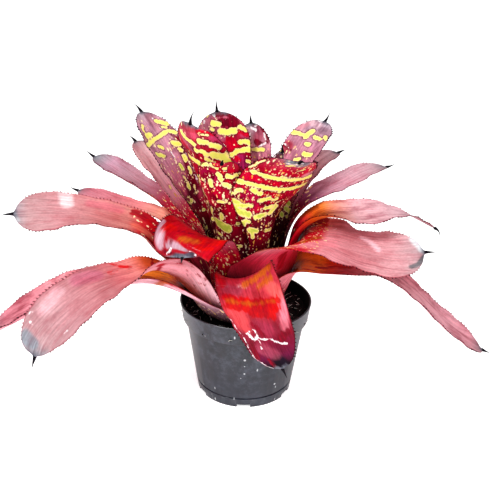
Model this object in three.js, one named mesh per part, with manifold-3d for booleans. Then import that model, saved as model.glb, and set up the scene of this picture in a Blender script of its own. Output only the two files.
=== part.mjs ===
import * as THREE from "three";
import Module from "manifold-3d";

// Neoregelia rosette in its nursery pot. Millimetres, +Z up, pot axis on Z, floor at z 0, front towards -Y.
const wasm = await Module();
wasm.setup();

const deg = Math.PI / 180;
const root = new THREE.Group();
root.name = "neoregelia_in_pot";

const finishes = {
  pot_plastic: { color: "#3d4147", roughness: 0.38, metalness: 0 },
  soil: { color: "#17130f", roughness: 0.95, metalness: 0 },
  stem: { color: "#8a6a4a", roughness: 0.8, metalness: 0 },
  leaf_spotted: { color: "#a3122f", roughness: 0.35, metalness: 0 },
  leaf_red: { color: "#c8202c", roughness: 0.3, metalness: 0 },
  leaf_pink: { color: "#c9707f", roughness: 0.35, metalness: 0 },
};
const materials = {};
for (const [slot, finish] of Object.entries(finishes)) {
  materials[slot] = new THREE.MeshStandardMaterial({ name: slot, ...finish });
}

// Real sizes
const pot = {
  sides: 40,
  height: 96.8,
  rimRadius: 65,
  collarBottom: 78,
  bodyTop: 59,
  footRadius: 48.4,
  wall: 1.4,
  floorTop: 4.2,
  padRadius: 14,
  recess: 1.8,
  notches: 6,
  notchWidth: 13,
  notchHeight: 3,
  notchDepth: 10,
  ringInside: 42.6, // the foot stands on a ring from here outwards
};
const soil = { top: 84.2, clearance: 0.3, holeRadius: 31, holeBottom: 54 };
const stem = { top: 115, topRadius: 8.5, clearance: 0.3, sides: 48 };
const crown = {
  firstRadius: 12, // base radius of the innermost leaf
  firstHeight: 112.4,
  radiusStep: 1.2, // from one leaf base to the next, outwards
  heightStep: 1.45,
  gap: 0.3,
  chordRoom: 0.35, // for the flat chords of the leaf bases
};
const leafRule = {
  midThickness: 1.0,
  edgeThickness: 0.6,
  clasp: [25, 85], // arc lengths: up to the first the leaf wraps the crown, past the second it is a free blade
  sweep: 2, // how late along the leaf its azimuth turns
  wrap: 66, // most that half a sheath wraps, degrees
  toothBase: 2.0,
  toothHeight: 1.3,
  toothLean: 0.6,
  teethFrom: 0.28, // share of the leaf's length where its teeth start and stop
  teethTo: 0.96,
  tipHalfWidth: 0.8,
  leastBend: 0.001,
};
// share of the leaf's half width along its length
const outline = [
  [0, 0.86], [0.1, 0.95], [0.22, 0.86], [0.36, 0.74], [0.5, 0.8], [0.68, 1], [0.8, 0.98],
  [0.88, 0.84], [0.94, 0.58], [0.97, 0.33], [0.985, 0.08], [1, 0.02],
];
// where the four half widths of each leaf hold
const widthStations = [0.15, 0.42, 0.68, 0.9];
// rows of points along a leaf, as shares of its length
const stations = [0, 0.07, 0.15, 0.23, 0.31, 0.39, 0.47, 0.55, 0.63, 0.71, 0.79, 0.87, 0.93, 0.97, 1];
const heartStations = [0, 0.12, 0.24, 0.36, 0.48, 0.6, 0.72, 0.84, 0.93, 0.97, 1];
const rowRule = { steps: 120, bendWeight: 0.3, tipStart: 0.87 };

// Every leaf, innermost first.
// ring: place in the nest. azimuth: degrees at base and tip, 0 at +X and -90 to the front.
// spine: length of the end spine and its turn in degrees. path: [reach, height] of the midrib.
// half: half widths near sheath, waist, belly and shoulder. roll: degrees about the midrib.
// channel: half angle of the curve across the blade, below 0 where it arches the other way.
// clasp: arc lengths where the sheath starts and stops melting into the blade. sweep: below 2 where it turns early.
const leaves = {
  leaf_heart_front: {
    slot: "leaf_spotted", ring: 0, azimuth: [300, 300], spine: [5, 10],
    path: [[17, 165], [15, 200], [12, 222]],
    half: [15, 15, 15, 15], roll: [0, 0], channel: [60, 60],
  },
  leaf_heart_back: {
    slot: "leaf_spotted", ring: 0, azimuth: [160, 160], spine: [5, 10],
    path: [[19, 165], [20, 200], [20, 228]],
    half: [17, 17, 17, 17], roll: [0, 0], channel: [60, 55],
  },
  leaf_cup_right: {
    slot: "leaf_spotted", ring: 1, azimuth: [20, 20], spine: [7, 30],
    path: [[25, 170], [31, 215], [33, 244]],
    half: [19, 19, 19, 19], roll: [0, 0], channel: [60, 55, 50, 40],
  },
  leaf_cup_back_right: {
    slot: "leaf_spotted", ring: 3, azimuth: [82, 89], spine: [7, 20],
    path: [[32, 171], [48, 220], [57, 261]],
    half: [23, 23, 22, 23], roll: [0, -12, -18, -15], channel: [60, 45, 35, 25],
  },
  leaf_cup_back: {
    slot: "leaf_spotted", ring: 2, azimuth: [125, 124], spine: [9, 30],
    path: [[28, 171], [42, 224], [57, 273]],
    half: [25, 25, 27, 31], roll: [0, 0, -5, -15], channel: [60, 45, 45, 20],
  },
  leaf_cup_left: {
    slot: "leaf_spotted", ring: 4, azimuth: [211, 217], spine: [9, 50],
    path: [[33.4, 173], [43, 223], [60, 270], [62, 278]],
    half: [25, 25, 28, 28], roll: [0, 5, 20, 25], channel: [60, 50, 55, 25],
  },
  leaf_cup_front_left: {
    slot: "leaf_spotted", ring: 5, azimuth: [244, 250], spine: [6, -30],
    path: [[40, 179], [53, 214], [59, 241], [64, 250]],
    half: [25, 25, 24, 28], roll: [0, 0, 5, 30], channel: [60, 55, 60, 50],
  },
  leaf_cup_front_right: {
    slot: "leaf_spotted", ring: 6, azimuth: [300, 300], spine: [8, -40],
    path: [[38, 169], [46, 210], [64, 242], [83, 255]],
    half: [29, 29, 41, 34], roll: [5, 50, 0, -15], channel: [60, 90, 35, 25],
  },
  leaf_upright_right: {
    slot: "leaf_spotted", ring: 7, azimuth: [42, 45], spine: [9, 30],
    path: [[41, 169], [58, 213], [77, 237], [109, 259]],
    half: [24, 24, 24, 24], roll: [0, 0, 0, 15], channel: [60, 45, 25, 30],
  },
  leaf_upright_left: {
    slot: "leaf_spotted", ring: 8, azimuth: [160, 154], spine: [9, -20],
    path: [[41, 169], [62, 201], [92, 242], [118, 270]],
    half: [25, 26, 25, 26], roll: [0, -10, -10, -5], channel: [60, 45, 30, 20],
  },
  leaf_plain_left: {
    slot: "leaf_pink", ring: 9, azimuth: [155, 154], spine: [6, -20],
    path: [[40, 151], [65, 173], [86, 197], [109, 223], [127, 240]],
    half: [26, 23, 23, 24], roll: [0, 0, 0, -5], channel: [60, 45, 40, 20],
  },
  leaf_plain_right: {
    slot: "leaf_pink", ring: 10, azimuth: [43, 39], spine: [8, -10],
    path: [[43, 165], [78, 203], [97, 219], [120, 227]],
    half: [28, 22, 22, 22], roll: [0, 0, -10, 0], channel: [60, 40, 45, 25],
  },
  leaf_narrow_left: {
    slot: "leaf_pink", ring: 11, azimuth: [150, 151], spine: [9, 15],
    path: [[41, 135], [79, 164], [102, 179], [136, 192], [163, 202], [189, 213]],
    half: [29, 21, 19, 22], roll: [0, 5, 10, -10], channel: [60, 50, 35, 40],
  },
  leaf_pale_right: {
    slot: "leaf_pink", ring: 11, azimuth: [26, 26], spine: [9, 10],
    path: [[41, 154], [58, 182], [79, 194], [108, 203], [137, 212], [159, 214]],
    half: [29, 22, 19, 20], roll: [0, -20, 0, 0], channel: [60, 55, 25, 30],
  },
  leaf_back_left: {
    slot: "leaf_pink", ring: 12, azimuth: [118, 118], spine: [7, 10],
    path: [[42, 131], [80, 158], [125, 169], [165, 167]],
    half: [26, 23, 23, 23], roll: [0, 0], channel: [60, 45, 25, 10],
  },
  leaf_curled_front_left: {
    slot: "leaf_red", ring: 13, azimuth: [240, 234], spine: [7, -20],
    path: [[43, 143], [57, 169], [75, 187], [95, 184], [93, 169]],
    half: [33, 27, 27, 33], roll: [0, 0, -5, -42], channel: [60, 50, 20, 20],
  },
  leaf_back_right: {
    slot: "leaf_pink", ring: 13, azimuth: [73, 73], spine: [7, 10],
    path: [[45, 132], [83, 158], [132, 168], [186, 159]],
    half: [21, 20, 24, 24], roll: [0, 0], channel: [60, 45, 25, 10],
  },
  leaf_dry_tip_right: {
    slot: "leaf_red", ring: 14, azimuth: [-8, 1], spine: [8, -50],
    path: [[44, 139], [51, 169], [71, 185], [103, 188], [131, 190], [150, 187], [181, 172]],
    half: [32, 34, 29, 8], roll: [0, -12, 5, -30], channel: [60, 55, 10, 20],
    clasp: [60, 110], sweep: 0.6,
  },
  leaf_salmon_left: {
    slot: "leaf_pink", ring: 14, azimuth: [160, 163], spine: [7, 10],
    path: [[51, 131], [93, 168], [120, 173], [154, 179], [183, 187]],
    half: [33, 23, 22, 22], roll: [0, 5, 10, -5], channel: [60, 40, 20, 10],
  },
  leaf_broad_left: {
    slot: "leaf_pink", ring: 15, azimuth: [185, 189], spine: [9, -20],
    path: [[46, 117], [85, 151], [99, 168], [123, 178], [153, 186], [183, 189], [214, 191]],
    half: [31, 27, 25, 31], roll: [0, -15, -10, -35], channel: [58, 56, 32, 2],
  },
  leaf_broad_right: {
    slot: "leaf_pink", ring: 15, azimuth: [-46, -13], spine: [9, -5],
    path: [[47, 141], [57, 170], [80, 172], [109, 166], [139, 163], [167, 165]],
    half: [90, 66, 29, 32], roll: [0, 0, 10, 35], channel: [60, 62, 20, -5, 0],
    clasp: [78, 128], sweep: 0.35,
  },
  leaf_back: {
    slot: "leaf_pink", ring: 17, azimuth: [95, 95], spine: [7, 10],
    path: [[46, 118], [83, 138], [132, 149], [191, 139]],
    half: [34, 25, 25, 25], roll: [0, 0], channel: [60, 45, 25, 10],
  },
  leaf_drooping_right: {
    slot: "leaf_red", ring: 16, azimuth: [-16, -12], spine: [7, 5],
    path: [[55, 138], [79, 139], [105, 141], [130, 142], [157, 126], [186, 100], [218, 77], [231, 70]],
    half: [44, 32, 24, 24], roll: [0, 0, -5, 5], channel: [60, 30, 20, 30],
  },
  leaf_red_front: {
    slot: "leaf_red", ring: 17, azimuth: [-92, -75], spine: [7, 10],
    path: [[58, 125], [78, 151], [96, 162], [109, 154], [119, 135], [124, 113], [126, 91]],
    half: [37, 34, 27, 25], roll: [0, 0, 5, 28, 33, 30], channel: [60, 52, 50, 10, -15, 5],
  },
  leaf_drooping_left: {
    slot: "leaf_pink", ring: 18, azimuth: [216, 218], spine: [8, -10],
    path: [[57, 113], [79, 140], [103, 152], [124, 151], [154, 148], [184, 135], [207, 117], [214, 103]],
    half: [39, 33, 26, 28], roll: [0, 20, -10, -30], channel: [65, 60, 25, 25],
  },
  leaf_lowest_left: {
    slot: "leaf_red", ring: 19, azimuth: [206, 203], spine: [7, 10],
    path: [[47, 93], [60, 112], [90, 129], [129, 136], [163, 135], [194, 124], [226, 110], [244, 101]],
    half: [52, 32, 25, 25], roll: [0, 5, 5, 10], channel: [60, 50, 50, 25],
    clasp: [40, 90],
  },
};

// smooth monotone curve through [x, y] knots
function through(knots, x) {
  const last = knots.length - 1;
  const width = [];
  const slope = [];
  for (let k = 0; k < last; k++) {
    width.push(knots[k + 1][0] - knots[k][0]);
    slope.push((knots[k + 1][1] - knots[k][1]) / width[k]);
  }
  const lean = (k) => {
    if (k === 0) return slope[0];
    if (k === last) return slope[last - 1];
    if (slope[k - 1] * slope[k] <= 0) return 0;
    const before = 2 * width[k] + width[k - 1];
    const after = width[k] + 2 * width[k - 1];
    return (before + after) / (before / slope[k - 1] + after / slope[k]);
  };
  let k = 0;
  while (k < last - 1 && x > knots[k + 1][0]) k++;
  const s = THREE.MathUtils.clamp((x - knots[k][0]) / width[k], 0, 1);
  const rise = s * s * (3 - 2 * s);
  return knots[k][1] * (1 - rise) + knots[k + 1][1] * rise
    + width[k] * s * (1 - s) * (lean(k) * (1 - s) - lean(k + 1) * s);
}
const evenly = (values) => values.map((value, k) => [k / (values.length - 1), value]);

// straight lines from one half width to the next
function widthAt(halves, t) {
  const last = widthStations.length - 1;
  if (t <= widthStations[0]) return halves[0];
  if (t >= widthStations[last]) return halves[last];
  const k = widthStations.findIndex((station) => t <= station);
  const share = (t - widthStations[k - 1]) / (widthStations[k] - widthStations[k - 1]);
  return THREE.MathUtils.lerp(halves[k - 1], halves[k], share);
}

// midrib: from its seat on the crown through the path points
function midrib(leaf) {
  const [start, end] = leaf.azimuth;
  const points = [[
    start,
    crown.firstRadius + crown.radiusStep * leaf.ring,
    crown.firstHeight - crown.heightStep * leaf.ring,
  ]];
  leaf.path.forEach(([reach, height], k) => {
    const share = k / (leaf.path.length - 1);
    points.push([start + (end - start) * share ** leaf.sweep, reach, height]);
  });
  const knots = points.map(([azimuth, reach, height]) =>
    new THREE.Vector3(reach * Math.cos(azimuth * deg), reach * Math.sin(azimuth * deg), height));
  const curve = new THREE.CatmullRomCurve3(knots, false, "centripetal");
  curve.arcLengthDivisions = 400;
  return curve;
}

// where along the midrib the rows lie: closer together round its bends, unchanged in the tip
function placeRows(curve, shares) {
  const { steps, bendWeight, tipStart } = rowRule;
  const cost = [0];
  let before = curve.getTangentAt(0);
  for (let k = 1; k <= steps; k++) {
    const tangent = curve.getTangentAt(tipStart * k / steps);
    cost.push(cost[k - 1] + 1 / steps + bendWeight * before.angleTo(tangent));
    before = tangent;
  }
  return shares.map((share) => {
    if (share >= tipStart) return share;
    const wanted = cost[steps] * share / tipStart;
    let k = 1;
    while (cost[k] < wanted) k++;
    return tipStart * (k - 1 + (wanted - cost[k - 1]) / (cost[k] - cost[k - 1])) / steps;
  });
}

// middle surface of a leaf: rows of points from one margin to the other.
// The base wraps the crown, the blade stands free, and between them one melts into the other.
function middle(leaf, curve, at, columns) {
  const length = curve.getLength();
  let lastTurn = leaf.azimuth[0] * deg;
  return at.map((t) => {
    const centre = curve.getPointAt(t);
    const tangent = curve.getTangentAt(t);
    const turn = lastTurn + Math.asin(Math.sin(Math.atan2(centre.y, centre.x) - lastTurn));
    lastTurn = turn;
    const across = new THREE.Vector3(-Math.sin(turn), Math.cos(turn), 0);
    across.addScaledVector(tangent, -across.dot(tangent)).normalize();
    const inward = tangent.clone().cross(across);
    const roll = through(evenly(leaf.roll), t) * deg;
    const side = across.clone().multiplyScalar(Math.cos(roll)).addScaledVector(inward, Math.sin(roll));
    const face = inward.clone().multiplyScalar(Math.cos(roll)).addScaledVector(across, -Math.sin(roll));
    const half = Math.max(widthAt(leaf.half, t) * through(outline, t), leafRule.tipHalfWidth);
    const bend = through(evenly(leaf.channel), t) * deg || leafRule.leastBend;
    const radius = Math.hypot(centre.x, centre.y);
    const spread = Math.min(half / radius, leafRule.wrap * deg);
    const free = THREE.MathUtils.smoothstep(t * length, ...leaf.clasp);
    const row = [];
    for (let j = 0; j <= columns; j++) {
      const u = -1 + 2 * j / columns;
      const blade = centre.clone()
        .addScaledVector(side, half / bend * Math.sin(bend * u))
        .addScaledVector(face, half / bend * (1 - Math.cos(bend * u)));
      const angle = turn + u * spread;
      const sheath = new THREE.Vector3(radius * Math.cos(angle), radius * Math.sin(angle), centre.z);
      row.push(sheath.lerp(blade, free));
    }
    return { row, tangent, face };
  });
}

function meshFrom(name, slot, vertices, triangles) {
  const geometry = new THREE.BufferGeometry();
  const positions = vertices.flatMap((vertex) => vertex.toArray());
  geometry.setAttribute("position", new THREE.Float32BufferAttribute(positions, 3));
  geometry.setIndex(triangles.flat());
  geometry.computeVertexNormals();
  const mesh = new THREE.Mesh(geometry, materials[slot]);
  mesh.name = name;
  return mesh;
}

// A leaf is its middle surface given thickness, with a tooth on each length of margin and a spine on its end.
// Both faces are split into triangles alike.
function buildLeaf(name, leaf) {
  const isHeart = leaf.ring < 2;
  const curve = midrib(leaf);
  const at = placeRows(curve, isHeart ? heartStations : stations);
  const columns = isHeart ? 4 : 6;
  const sections = middle(leaf, curve, at, columns);
  const rows = sections.map((section) => section.row);
  const last = rows.length - 1;
  const vertices = [];
  const triangles = [];
  const add = (vertex) => vertices.push(vertex) - 1;
  const put = (turned, a, b, c) => triangles.push(turned ? [a, c, b] : [a, b, c]);

  // the two faces, as grids of vertex numbers
  const upper = [];
  const lower = [];
  rows.forEach((row, i) => {
    upper.push([]);
    lower.push([]);
    row.forEach((point, j) => {
      const along = rows[Math.min(i + 1, last)][j].clone().sub(rows[Math.max(i - 1, 0)][j]);
      const cross = row[Math.min(j + 1, columns)].clone().sub(row[Math.max(j - 1, 0)]);
      const normal = along.cross(cross).normalize();
      const u = -1 + 2 * j / columns;
      const thickness = THREE.MathUtils.lerp(leafRule.midThickness, leafRule.edgeThickness, u * u);
      upper[i].push(add(point.clone().addScaledVector(normal, thickness / 2)));
      lower[i].push(add(point.clone().addScaledVector(normal, -thickness / 2)));
    });
  });

  // a tooth: two feet on each face and one apex
  function addTooth(i, edge) {
    const feetOn = (grid) => {
      const start = vertices[grid[i][edge]];
      const end = vertices[grid[i + 1][edge]];
      const share = leafRule.toothBase / 2 / start.distanceTo(end);
      return [0.5 - share, 0.5 + share].map((place) => add(start.clone().lerp(end, place)));
    };
    const inner = edge === 0 ? 1 : columns - 1;
    const outwards = (k) => rows[k][edge].clone().sub(rows[k][inner]).normalize();
    const out = outwards(i).add(outwards(i + 1)).normalize();
    const onward = rows[i + 1][edge].clone().sub(rows[i][edge]).normalize();
    const top = feetOn(upper);
    const low = feetOn(lower);
    const apex = rows[i][edge].clone().lerp(rows[i + 1][edge], 0.5)
      .addScaledVector(out, leafRule.toothHeight).addScaledVector(onward, leafRule.toothLean);
    return { top, low, apex: add(apex) };
  }

  function addFace(grid, i, j, feet, edge) {
    const turned = grid === lower;
    const a = grid[i][j];
    const b = grid[i + 1][j];
    const c = grid[i + 1][j + 1];
    const d = grid[i][j + 1];
    if (!feet) {
      put(turned, a, b, c);
      put(turned, a, c, d);
    } else if (edge === 0) {
      put(turned, a, feet[0], c);
      put(turned, feet[0], feet[1], c);
      put(turned, feet[1], b, c);
      put(turned, a, c, d);
    } else {
      put(turned, a, b, c);
      put(turned, a, c, feet[1]);
      put(turned, a, feet[1], feet[0]);
      put(turned, a, feet[0], d);
    }
  }

  function addMargin(i, edge, tooth) {
    const turned = edge !== 0;
    const start = [lower[i][edge], upper[i][edge]];
    const end = [lower[i + 1][edge], upper[i + 1][edge]];
    if (!tooth) {
      put(turned, start[0], end[0], end[1]);
      put(turned, start[0], end[1], start[1]);
      return;
    }
    const { top, low, apex } = tooth;
    put(turned, start[0], low[0], top[0]);
    put(turned, start[0], top[0], start[1]);
    put(turned, low[0], low[1], apex);
    put(turned, low[1], top[1], apex);
    put(turned, top[1], top[0], apex);
    put(turned, top[0], low[0], apex);
    put(turned, low[1], end[0], end[1]);
    put(turned, low[1], end[1], top[1]);
  }

  for (let i = 0; i < last; i++) {
    const isToothed = !isHeart && at[i] > leafRule.teethFrom && at[i + 1] < leafRule.teethTo;
    const teeth = { 0: isToothed && addTooth(i, 0), [columns]: isToothed && addTooth(i, columns) };
    for (let j = 0; j < columns; j++) {
      const edge = j === columns - 1 ? columns : 0;
      const tooth = (j === 0 || edge === columns) && teeth[edge];
      addFace(upper, i, j, tooth && tooth.top, edge);
      addFace(lower, i, j, tooth && tooth.low, edge);
    }
    addMargin(i, 0, teeth[0]);
    addMargin(i, columns, teeth[columns]);
  }

  // base end, then the end spine
  const end = sections[last];
  const [spineLength, spineTurn] = leaf.spine;
  const spine = add(end.row[columns / 2].clone()
    .addScaledVector(end.tangent, spineLength * Math.cos(spineTurn * deg))
    .addScaledVector(end.face, spineLength * Math.sin(spineTurn * deg)));
  for (let j = 0; j < columns; j++) {
    put(false, lower[0][j], upper[0][j + 1], lower[0][j + 1]);
    put(false, lower[0][j], upper[0][j], upper[0][j + 1]);
    put(false, upper[last][j], spine, upper[last][j + 1]);
    put(false, lower[last][j], lower[last][j + 1], spine);
  }
  put(false, lower[last][0], spine, upper[last][0]);
  put(false, lower[last][columns], upper[last][columns], spine);
  return meshFrom(name, leaf.slot, vertices, triangles);
}

// closed solid of revolution from a closed [radius, height] outline
function revolve(name, slot, profile, sides) {
  const vertices = [];
  const triangles = [];
  const rings = profile.map(([radius, height]) => {
    const ring = [];
    for (let k = 0; k < (radius === 0 ? 1 : sides); k++) {
      const angle = 2 * Math.PI * k / sides;
      const vertex = new THREE.Vector3(radius * Math.cos(angle), radius * Math.sin(angle), height);
      ring.push(vertices.push(vertex) - 1);
    }
    return ring;
  });
  for (let p = 0; p < rings.length; p++) {
    const a = rings[p];
    const b = rings[(p + 1) % rings.length];
    if (a.length === 1 && b.length === 1) continue;
    for (let k = 0; k < sides; k++) {
      const n = (k + 1) % sides;
      if (a.length === 1) triangles.push([a[0], b[n], b[k]]);
      else if (b.length === 1) triangles.push([a[k], a[n], b[0]]);
      else triangles.push([a[k], a[n], b[n]], [a[k], b[n], b[k]]);
    }
  }
  return meshFrom(name, slot, vertices, triangles);
}

// cutting goes through a joined, shared-vertex copy of each solid
function toSolid(geometry) {
  const position = geometry.getAttribute("position");
  const index = geometry.getIndex();
  const keys = new Map();
  const vertProperties = [];
  const triVerts = [];
  for (let k = 0; k < index.count; k++) {
    const v = index.getX(k);
    const xyz = [position.getX(v), position.getY(v), position.getZ(v)];
    const key = xyz.map((c) => Math.round(c * 10000)).join(" ");
    if (!keys.has(key)) {
      keys.set(key, vertProperties.length / 3);
      vertProperties.push(...xyz);
    }
    triVerts.push(keys.get(key));
  }
  const mesh = new wasm.Mesh({
    numProp: 3,
    vertProperties: new Float32Array(vertProperties),
    triVerts: new Uint32Array(triVerts),
  });
  return new wasm.Manifold(mesh);
}

function fromSolid(name, slot, solid) {
  const { vertProperties, triVerts, numProp } = solid.getMesh();
  const vertices = [];
  const triangles = [];
  for (let k = 0; k < vertProperties.length; k += numProp) {
    vertices.push(new THREE.Vector3().fromArray(vertProperties, k));
  }
  for (let k = 0; k < triVerts.length; k += 3) {
    triangles.push([triVerts[k], triVerts[k + 1], triVerts[k + 2]]);
  }
  return meshFrom(name, slot, vertices, triangles);
}

// foot with a recessed base, a pad in its middle, a groove above the foot, tapered body and collar
function buildPot() {
  const foot = [
    [0, 0], [pot.padRadius, 0], [pot.padRadius + 0.6, pot.recess],
    [pot.ringInside, pot.recess], [pot.ringInside + 0.6, 0],
    [pot.footRadius - 0.4, 0], [pot.footRadius + 1, 9.7],
  ];
  const groove = [[48.6, 10.3], [48.7, 11], [49.7, 11.6]];
  const collar = [
    [pot.bodyTop, pot.collarBottom - 1], [62, pot.collarBottom], [62.5, pot.collarBottom + 1], [64.6, 95],
    [pot.rimRadius, pot.height - 0.6], [64.3, pot.height],
  ];
  const inside = [
    [64.8 - pot.wall, pot.height - 0.4], [64.3 - pot.wall, 95], [62.6 - pot.wall, 80.2],
    [58.9 - pot.wall, 79], [58.3 - pot.wall, 76.5], [46.9, 5.2], [45.9, pot.floorTop], [0, pot.floorTop],
  ];
  const shell = revolve("pot", "pot_plastic", [...foot, ...groove, ...collar, ...inside], pot.sides);
  let solid = toSolid(shell.geometry);
  for (let k = 0; k < pot.notches; k++) {
    const cutter = new THREE.BoxGeometry(pot.notchWidth, pot.notchDepth, pot.notchHeight * 2);
    cutter.translate(0, -pot.ringInside - pot.notchDepth / 2, 0);
    cutter.rotateZ(2 * Math.PI * k / pot.notches);
    solid = solid.subtract(toSolid(cutter));
  }
  return fromSolid("pot", "pot_plastic", solid);
}

// potting mix: fills the pot's inside, with a plain hole for the stem
function buildSoil() {
  const clear = pot.wall + soil.clearance;
  const bottom = pot.floorTop + soil.clearance;
  return revolve("soil", "soil", [
    [0, bottom], [45.6, bottom], [46.5, 5.4], [58.2 - clear, 76.6], [58.9 - clear, 79.3],
    [62.3 - clear, 80.5], [62.9 - clear, soil.top], [soil.holeRadius, soil.top],
    [soil.holeRadius, soil.holeBottom], [0, soil.holeBottom],
  ], pot.sides);
}

// short stem: a plug in the soil, a shoulder on it and a cone that the leaf bases nest round
function buildStem() {
  const slope = crown.radiusStep / crown.heightStep;
  const clear = leafRule.midThickness / 2 + crown.gap + crown.chordRoom;
  const seatRadius = (height) => crown.firstRadius - clear + (crown.firstHeight - height) * slope;
  const plugRadius = soil.holeRadius - stem.clearance;
  const shoulder = soil.top + stem.clearance;
  return revolve("stem", "stem", [
    [0, soil.holeBottom + stem.clearance], [plugRadius, soil.holeBottom + stem.clearance],
    [plugRadius, shoulder], [seatRadius(shoulder), shoulder],
    [seatRadius(crown.firstHeight), crown.firstHeight], [stem.topRadius, stem.top], [0, stem.top],
  ], stem.sides);
}

root.add(buildPot(), buildSoil(), buildStem());
for (const [name, leaf] of Object.entries(leaves)) {
  root.add(buildLeaf(name, { clasp: leafRule.clasp, sweep: leafRule.sweep, ...leaf }));
}

export default root;
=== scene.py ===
import math

import bmesh
import bpy
import numpy as np
from mathutils import Matrix, Vector
from mathutils.bvhtree import BVHTree


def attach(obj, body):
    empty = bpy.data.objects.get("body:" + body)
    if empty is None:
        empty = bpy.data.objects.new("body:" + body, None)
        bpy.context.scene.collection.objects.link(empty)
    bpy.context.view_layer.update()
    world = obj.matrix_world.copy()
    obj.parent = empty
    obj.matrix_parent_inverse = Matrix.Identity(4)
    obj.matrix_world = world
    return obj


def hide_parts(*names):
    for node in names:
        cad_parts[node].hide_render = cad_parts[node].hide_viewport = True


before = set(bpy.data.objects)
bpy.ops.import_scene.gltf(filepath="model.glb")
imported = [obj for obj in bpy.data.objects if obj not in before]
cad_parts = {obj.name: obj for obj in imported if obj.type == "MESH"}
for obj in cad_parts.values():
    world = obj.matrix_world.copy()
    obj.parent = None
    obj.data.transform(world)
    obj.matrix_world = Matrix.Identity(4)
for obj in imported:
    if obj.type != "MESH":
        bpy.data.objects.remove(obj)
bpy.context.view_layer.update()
mm = 0.001
print("frame loaded")


def linear(hexColour):
    # sRGB hex to the linear values that shaders use
    channels = [int(hexColour[k:k + 2], 16) / 255 for k in (1, 3, 5)]
    return [c / 12.92 if c <= 0.04045 else ((c + 0.055) / 1.055) ** 2.4 for c in channels]


def addNode(tree, kind, settings={}, stops=()):
    # settings: the node's own properties, and for its inputs a value, a hex colour, an output socket, or
    # another node, which stands for its first output in use. stops: a ramp's places and hex colours.
    node = tree.nodes.new(kind)
    for key, value in settings.items():
        if isinstance(value, bpy.types.Node):
            value = next(socket for socket in value.outputs if socket.enabled)
        if isinstance(value, bpy.types.NodeSocket):
            tree.links.new(value, node.inputs[key])
        elif isinstance(key, str) and hasattr(node, key):
            setattr(node, key, value)
        elif isinstance(value, str) and value.startswith("#"):
            node.inputs[key].default_value = [*linear(value), 1]
        else:
            node.inputs[key].default_value = value
    if stops:
        elements = node.color_ramp.elements
        while len(elements) < len(stops):
            elements.new(0.5)
        for element, (position, hexColour) in zip(elements, stops):
            element.position = position
            element.color = [*linear(hexColour), 1]
    return node


def layOver(tree, colour, tone, field, low, high, least=0, most=1, blend="MIX"):
    # lays a tone over a colour, in a share from least to most where the field goes from low to high
    share = addNode(tree, "ShaderNodeMapRange", {0: field, 1: low, 2: high, 3: least, 4: most})
    return addNode(tree, "ShaderNodeMix",
                   {"data_type": "RGBA", "blend_type": blend, 0: share, 6: colour, 7: tone})


def newMaterial(name):
    material = bpy.data.materials.new(name)
    material.use_nodes = True
    material.node_tree.nodes.clear()
    return material, material.node_tree


def newObject(name, mesh):
    piece = bpy.data.objects.new(name, mesh)
    bpy.context.collection.objects.link(piece)
    return piece


def applyModifiers(piece):
    # keeps what a piece's modifiers make of it as a plain mesh
    graph = bpy.context.evaluated_depsgraph_get()
    mesh = bpy.data.meshes.new_from_object(piece.evaluated_get(graph))
    piece.modifiers.clear()
    piece.data = mesh


def newTree(name, flow, inputs):
    # a node tree with a flow of geometry through it, and named inputs
    tree = bpy.data.node_groups.new(name, "GeometryNodeTree")
    for direction, sockets in (("INPUT", {flow: "Geometry", **inputs}), ("OUTPUT", {flow: "Geometry"})):
        for socket, kind in sockets.items():
            tree.interface.new_socket(socket, in_out=direction, socket_type="NodeSocket" + kind)
    return tree, addNode(tree, "NodeGroupInput").outputs


def applyTree(piece, tree, values):
    # sets the named inputs by their identifiers, and keeps the result
    modifier = piece.modifiers.new("nodes", "NODES")
    modifier.node_group = tree
    for item in tree.interface.items_tree:
        if item.in_out == "INPUT" and item.name in values:
            modifier[item.identifier] = values[item.name]
    applyModifiers(piece)


def ease(low, high, x):
    s = np.clip((x - low) / (high - low), 0, 1)
    return s * s * (3 - 2 * s)


# Eye level of somebody standing in front of a low table. Millimetres and degrees.
view = {
    "place": (0, -577, 390),
    "down": 22.8,
    "turn": 0.3,
    "roll": 1.4,
    "lens": 46.8,
    "sensor": 36,
    "frame": 500,  # side of the square frame, in pixels
    "near": 20,  # nothing nearer is drawn
}


def viewAxes():
    down, turn, roll = (math.radians(view[key]) for key in ("down", "turn", "roll"))
    ahead = Vector((math.sin(turn) * math.cos(down), math.cos(turn) * math.cos(down), -math.sin(down)))
    level = ahead.cross(Vector((0, 0, 1))).normalized()
    above = level.cross(ahead)
    right = level * math.cos(roll) + above * math.sin(roll)
    up = above * math.cos(roll) - level * math.sin(roll)
    return right, up, ahead


viewRight, viewUp, viewAhead = viewAxes()
viewPlace = Vector(view["place"])
viewScale = view["frame"] * view["lens"] / view["sensor"]


def rayThrough(x, y):
    # direction from the eye through a place in the frame, counted from its top left
    half = view["frame"] / 2
    return (viewAhead * viewScale + viewRight * (x - half) - viewUp * (y - half)).normalized()


def addCamera():
    data = bpy.data.cameras.new("camera")
    data.lens = view["lens"]
    data.sensor_width = view["sensor"]
    data.clip_start = view["near"] * mm
    camera = newObject("camera", data)
    turned = Matrix((viewRight, viewUp, -viewAhead)).transposed().to_4x4()
    camera.matrix_world = Matrix.Translation(viewPlace * mm) @ turned
    bpy.context.scene.camera = camera


addCamera()


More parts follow.
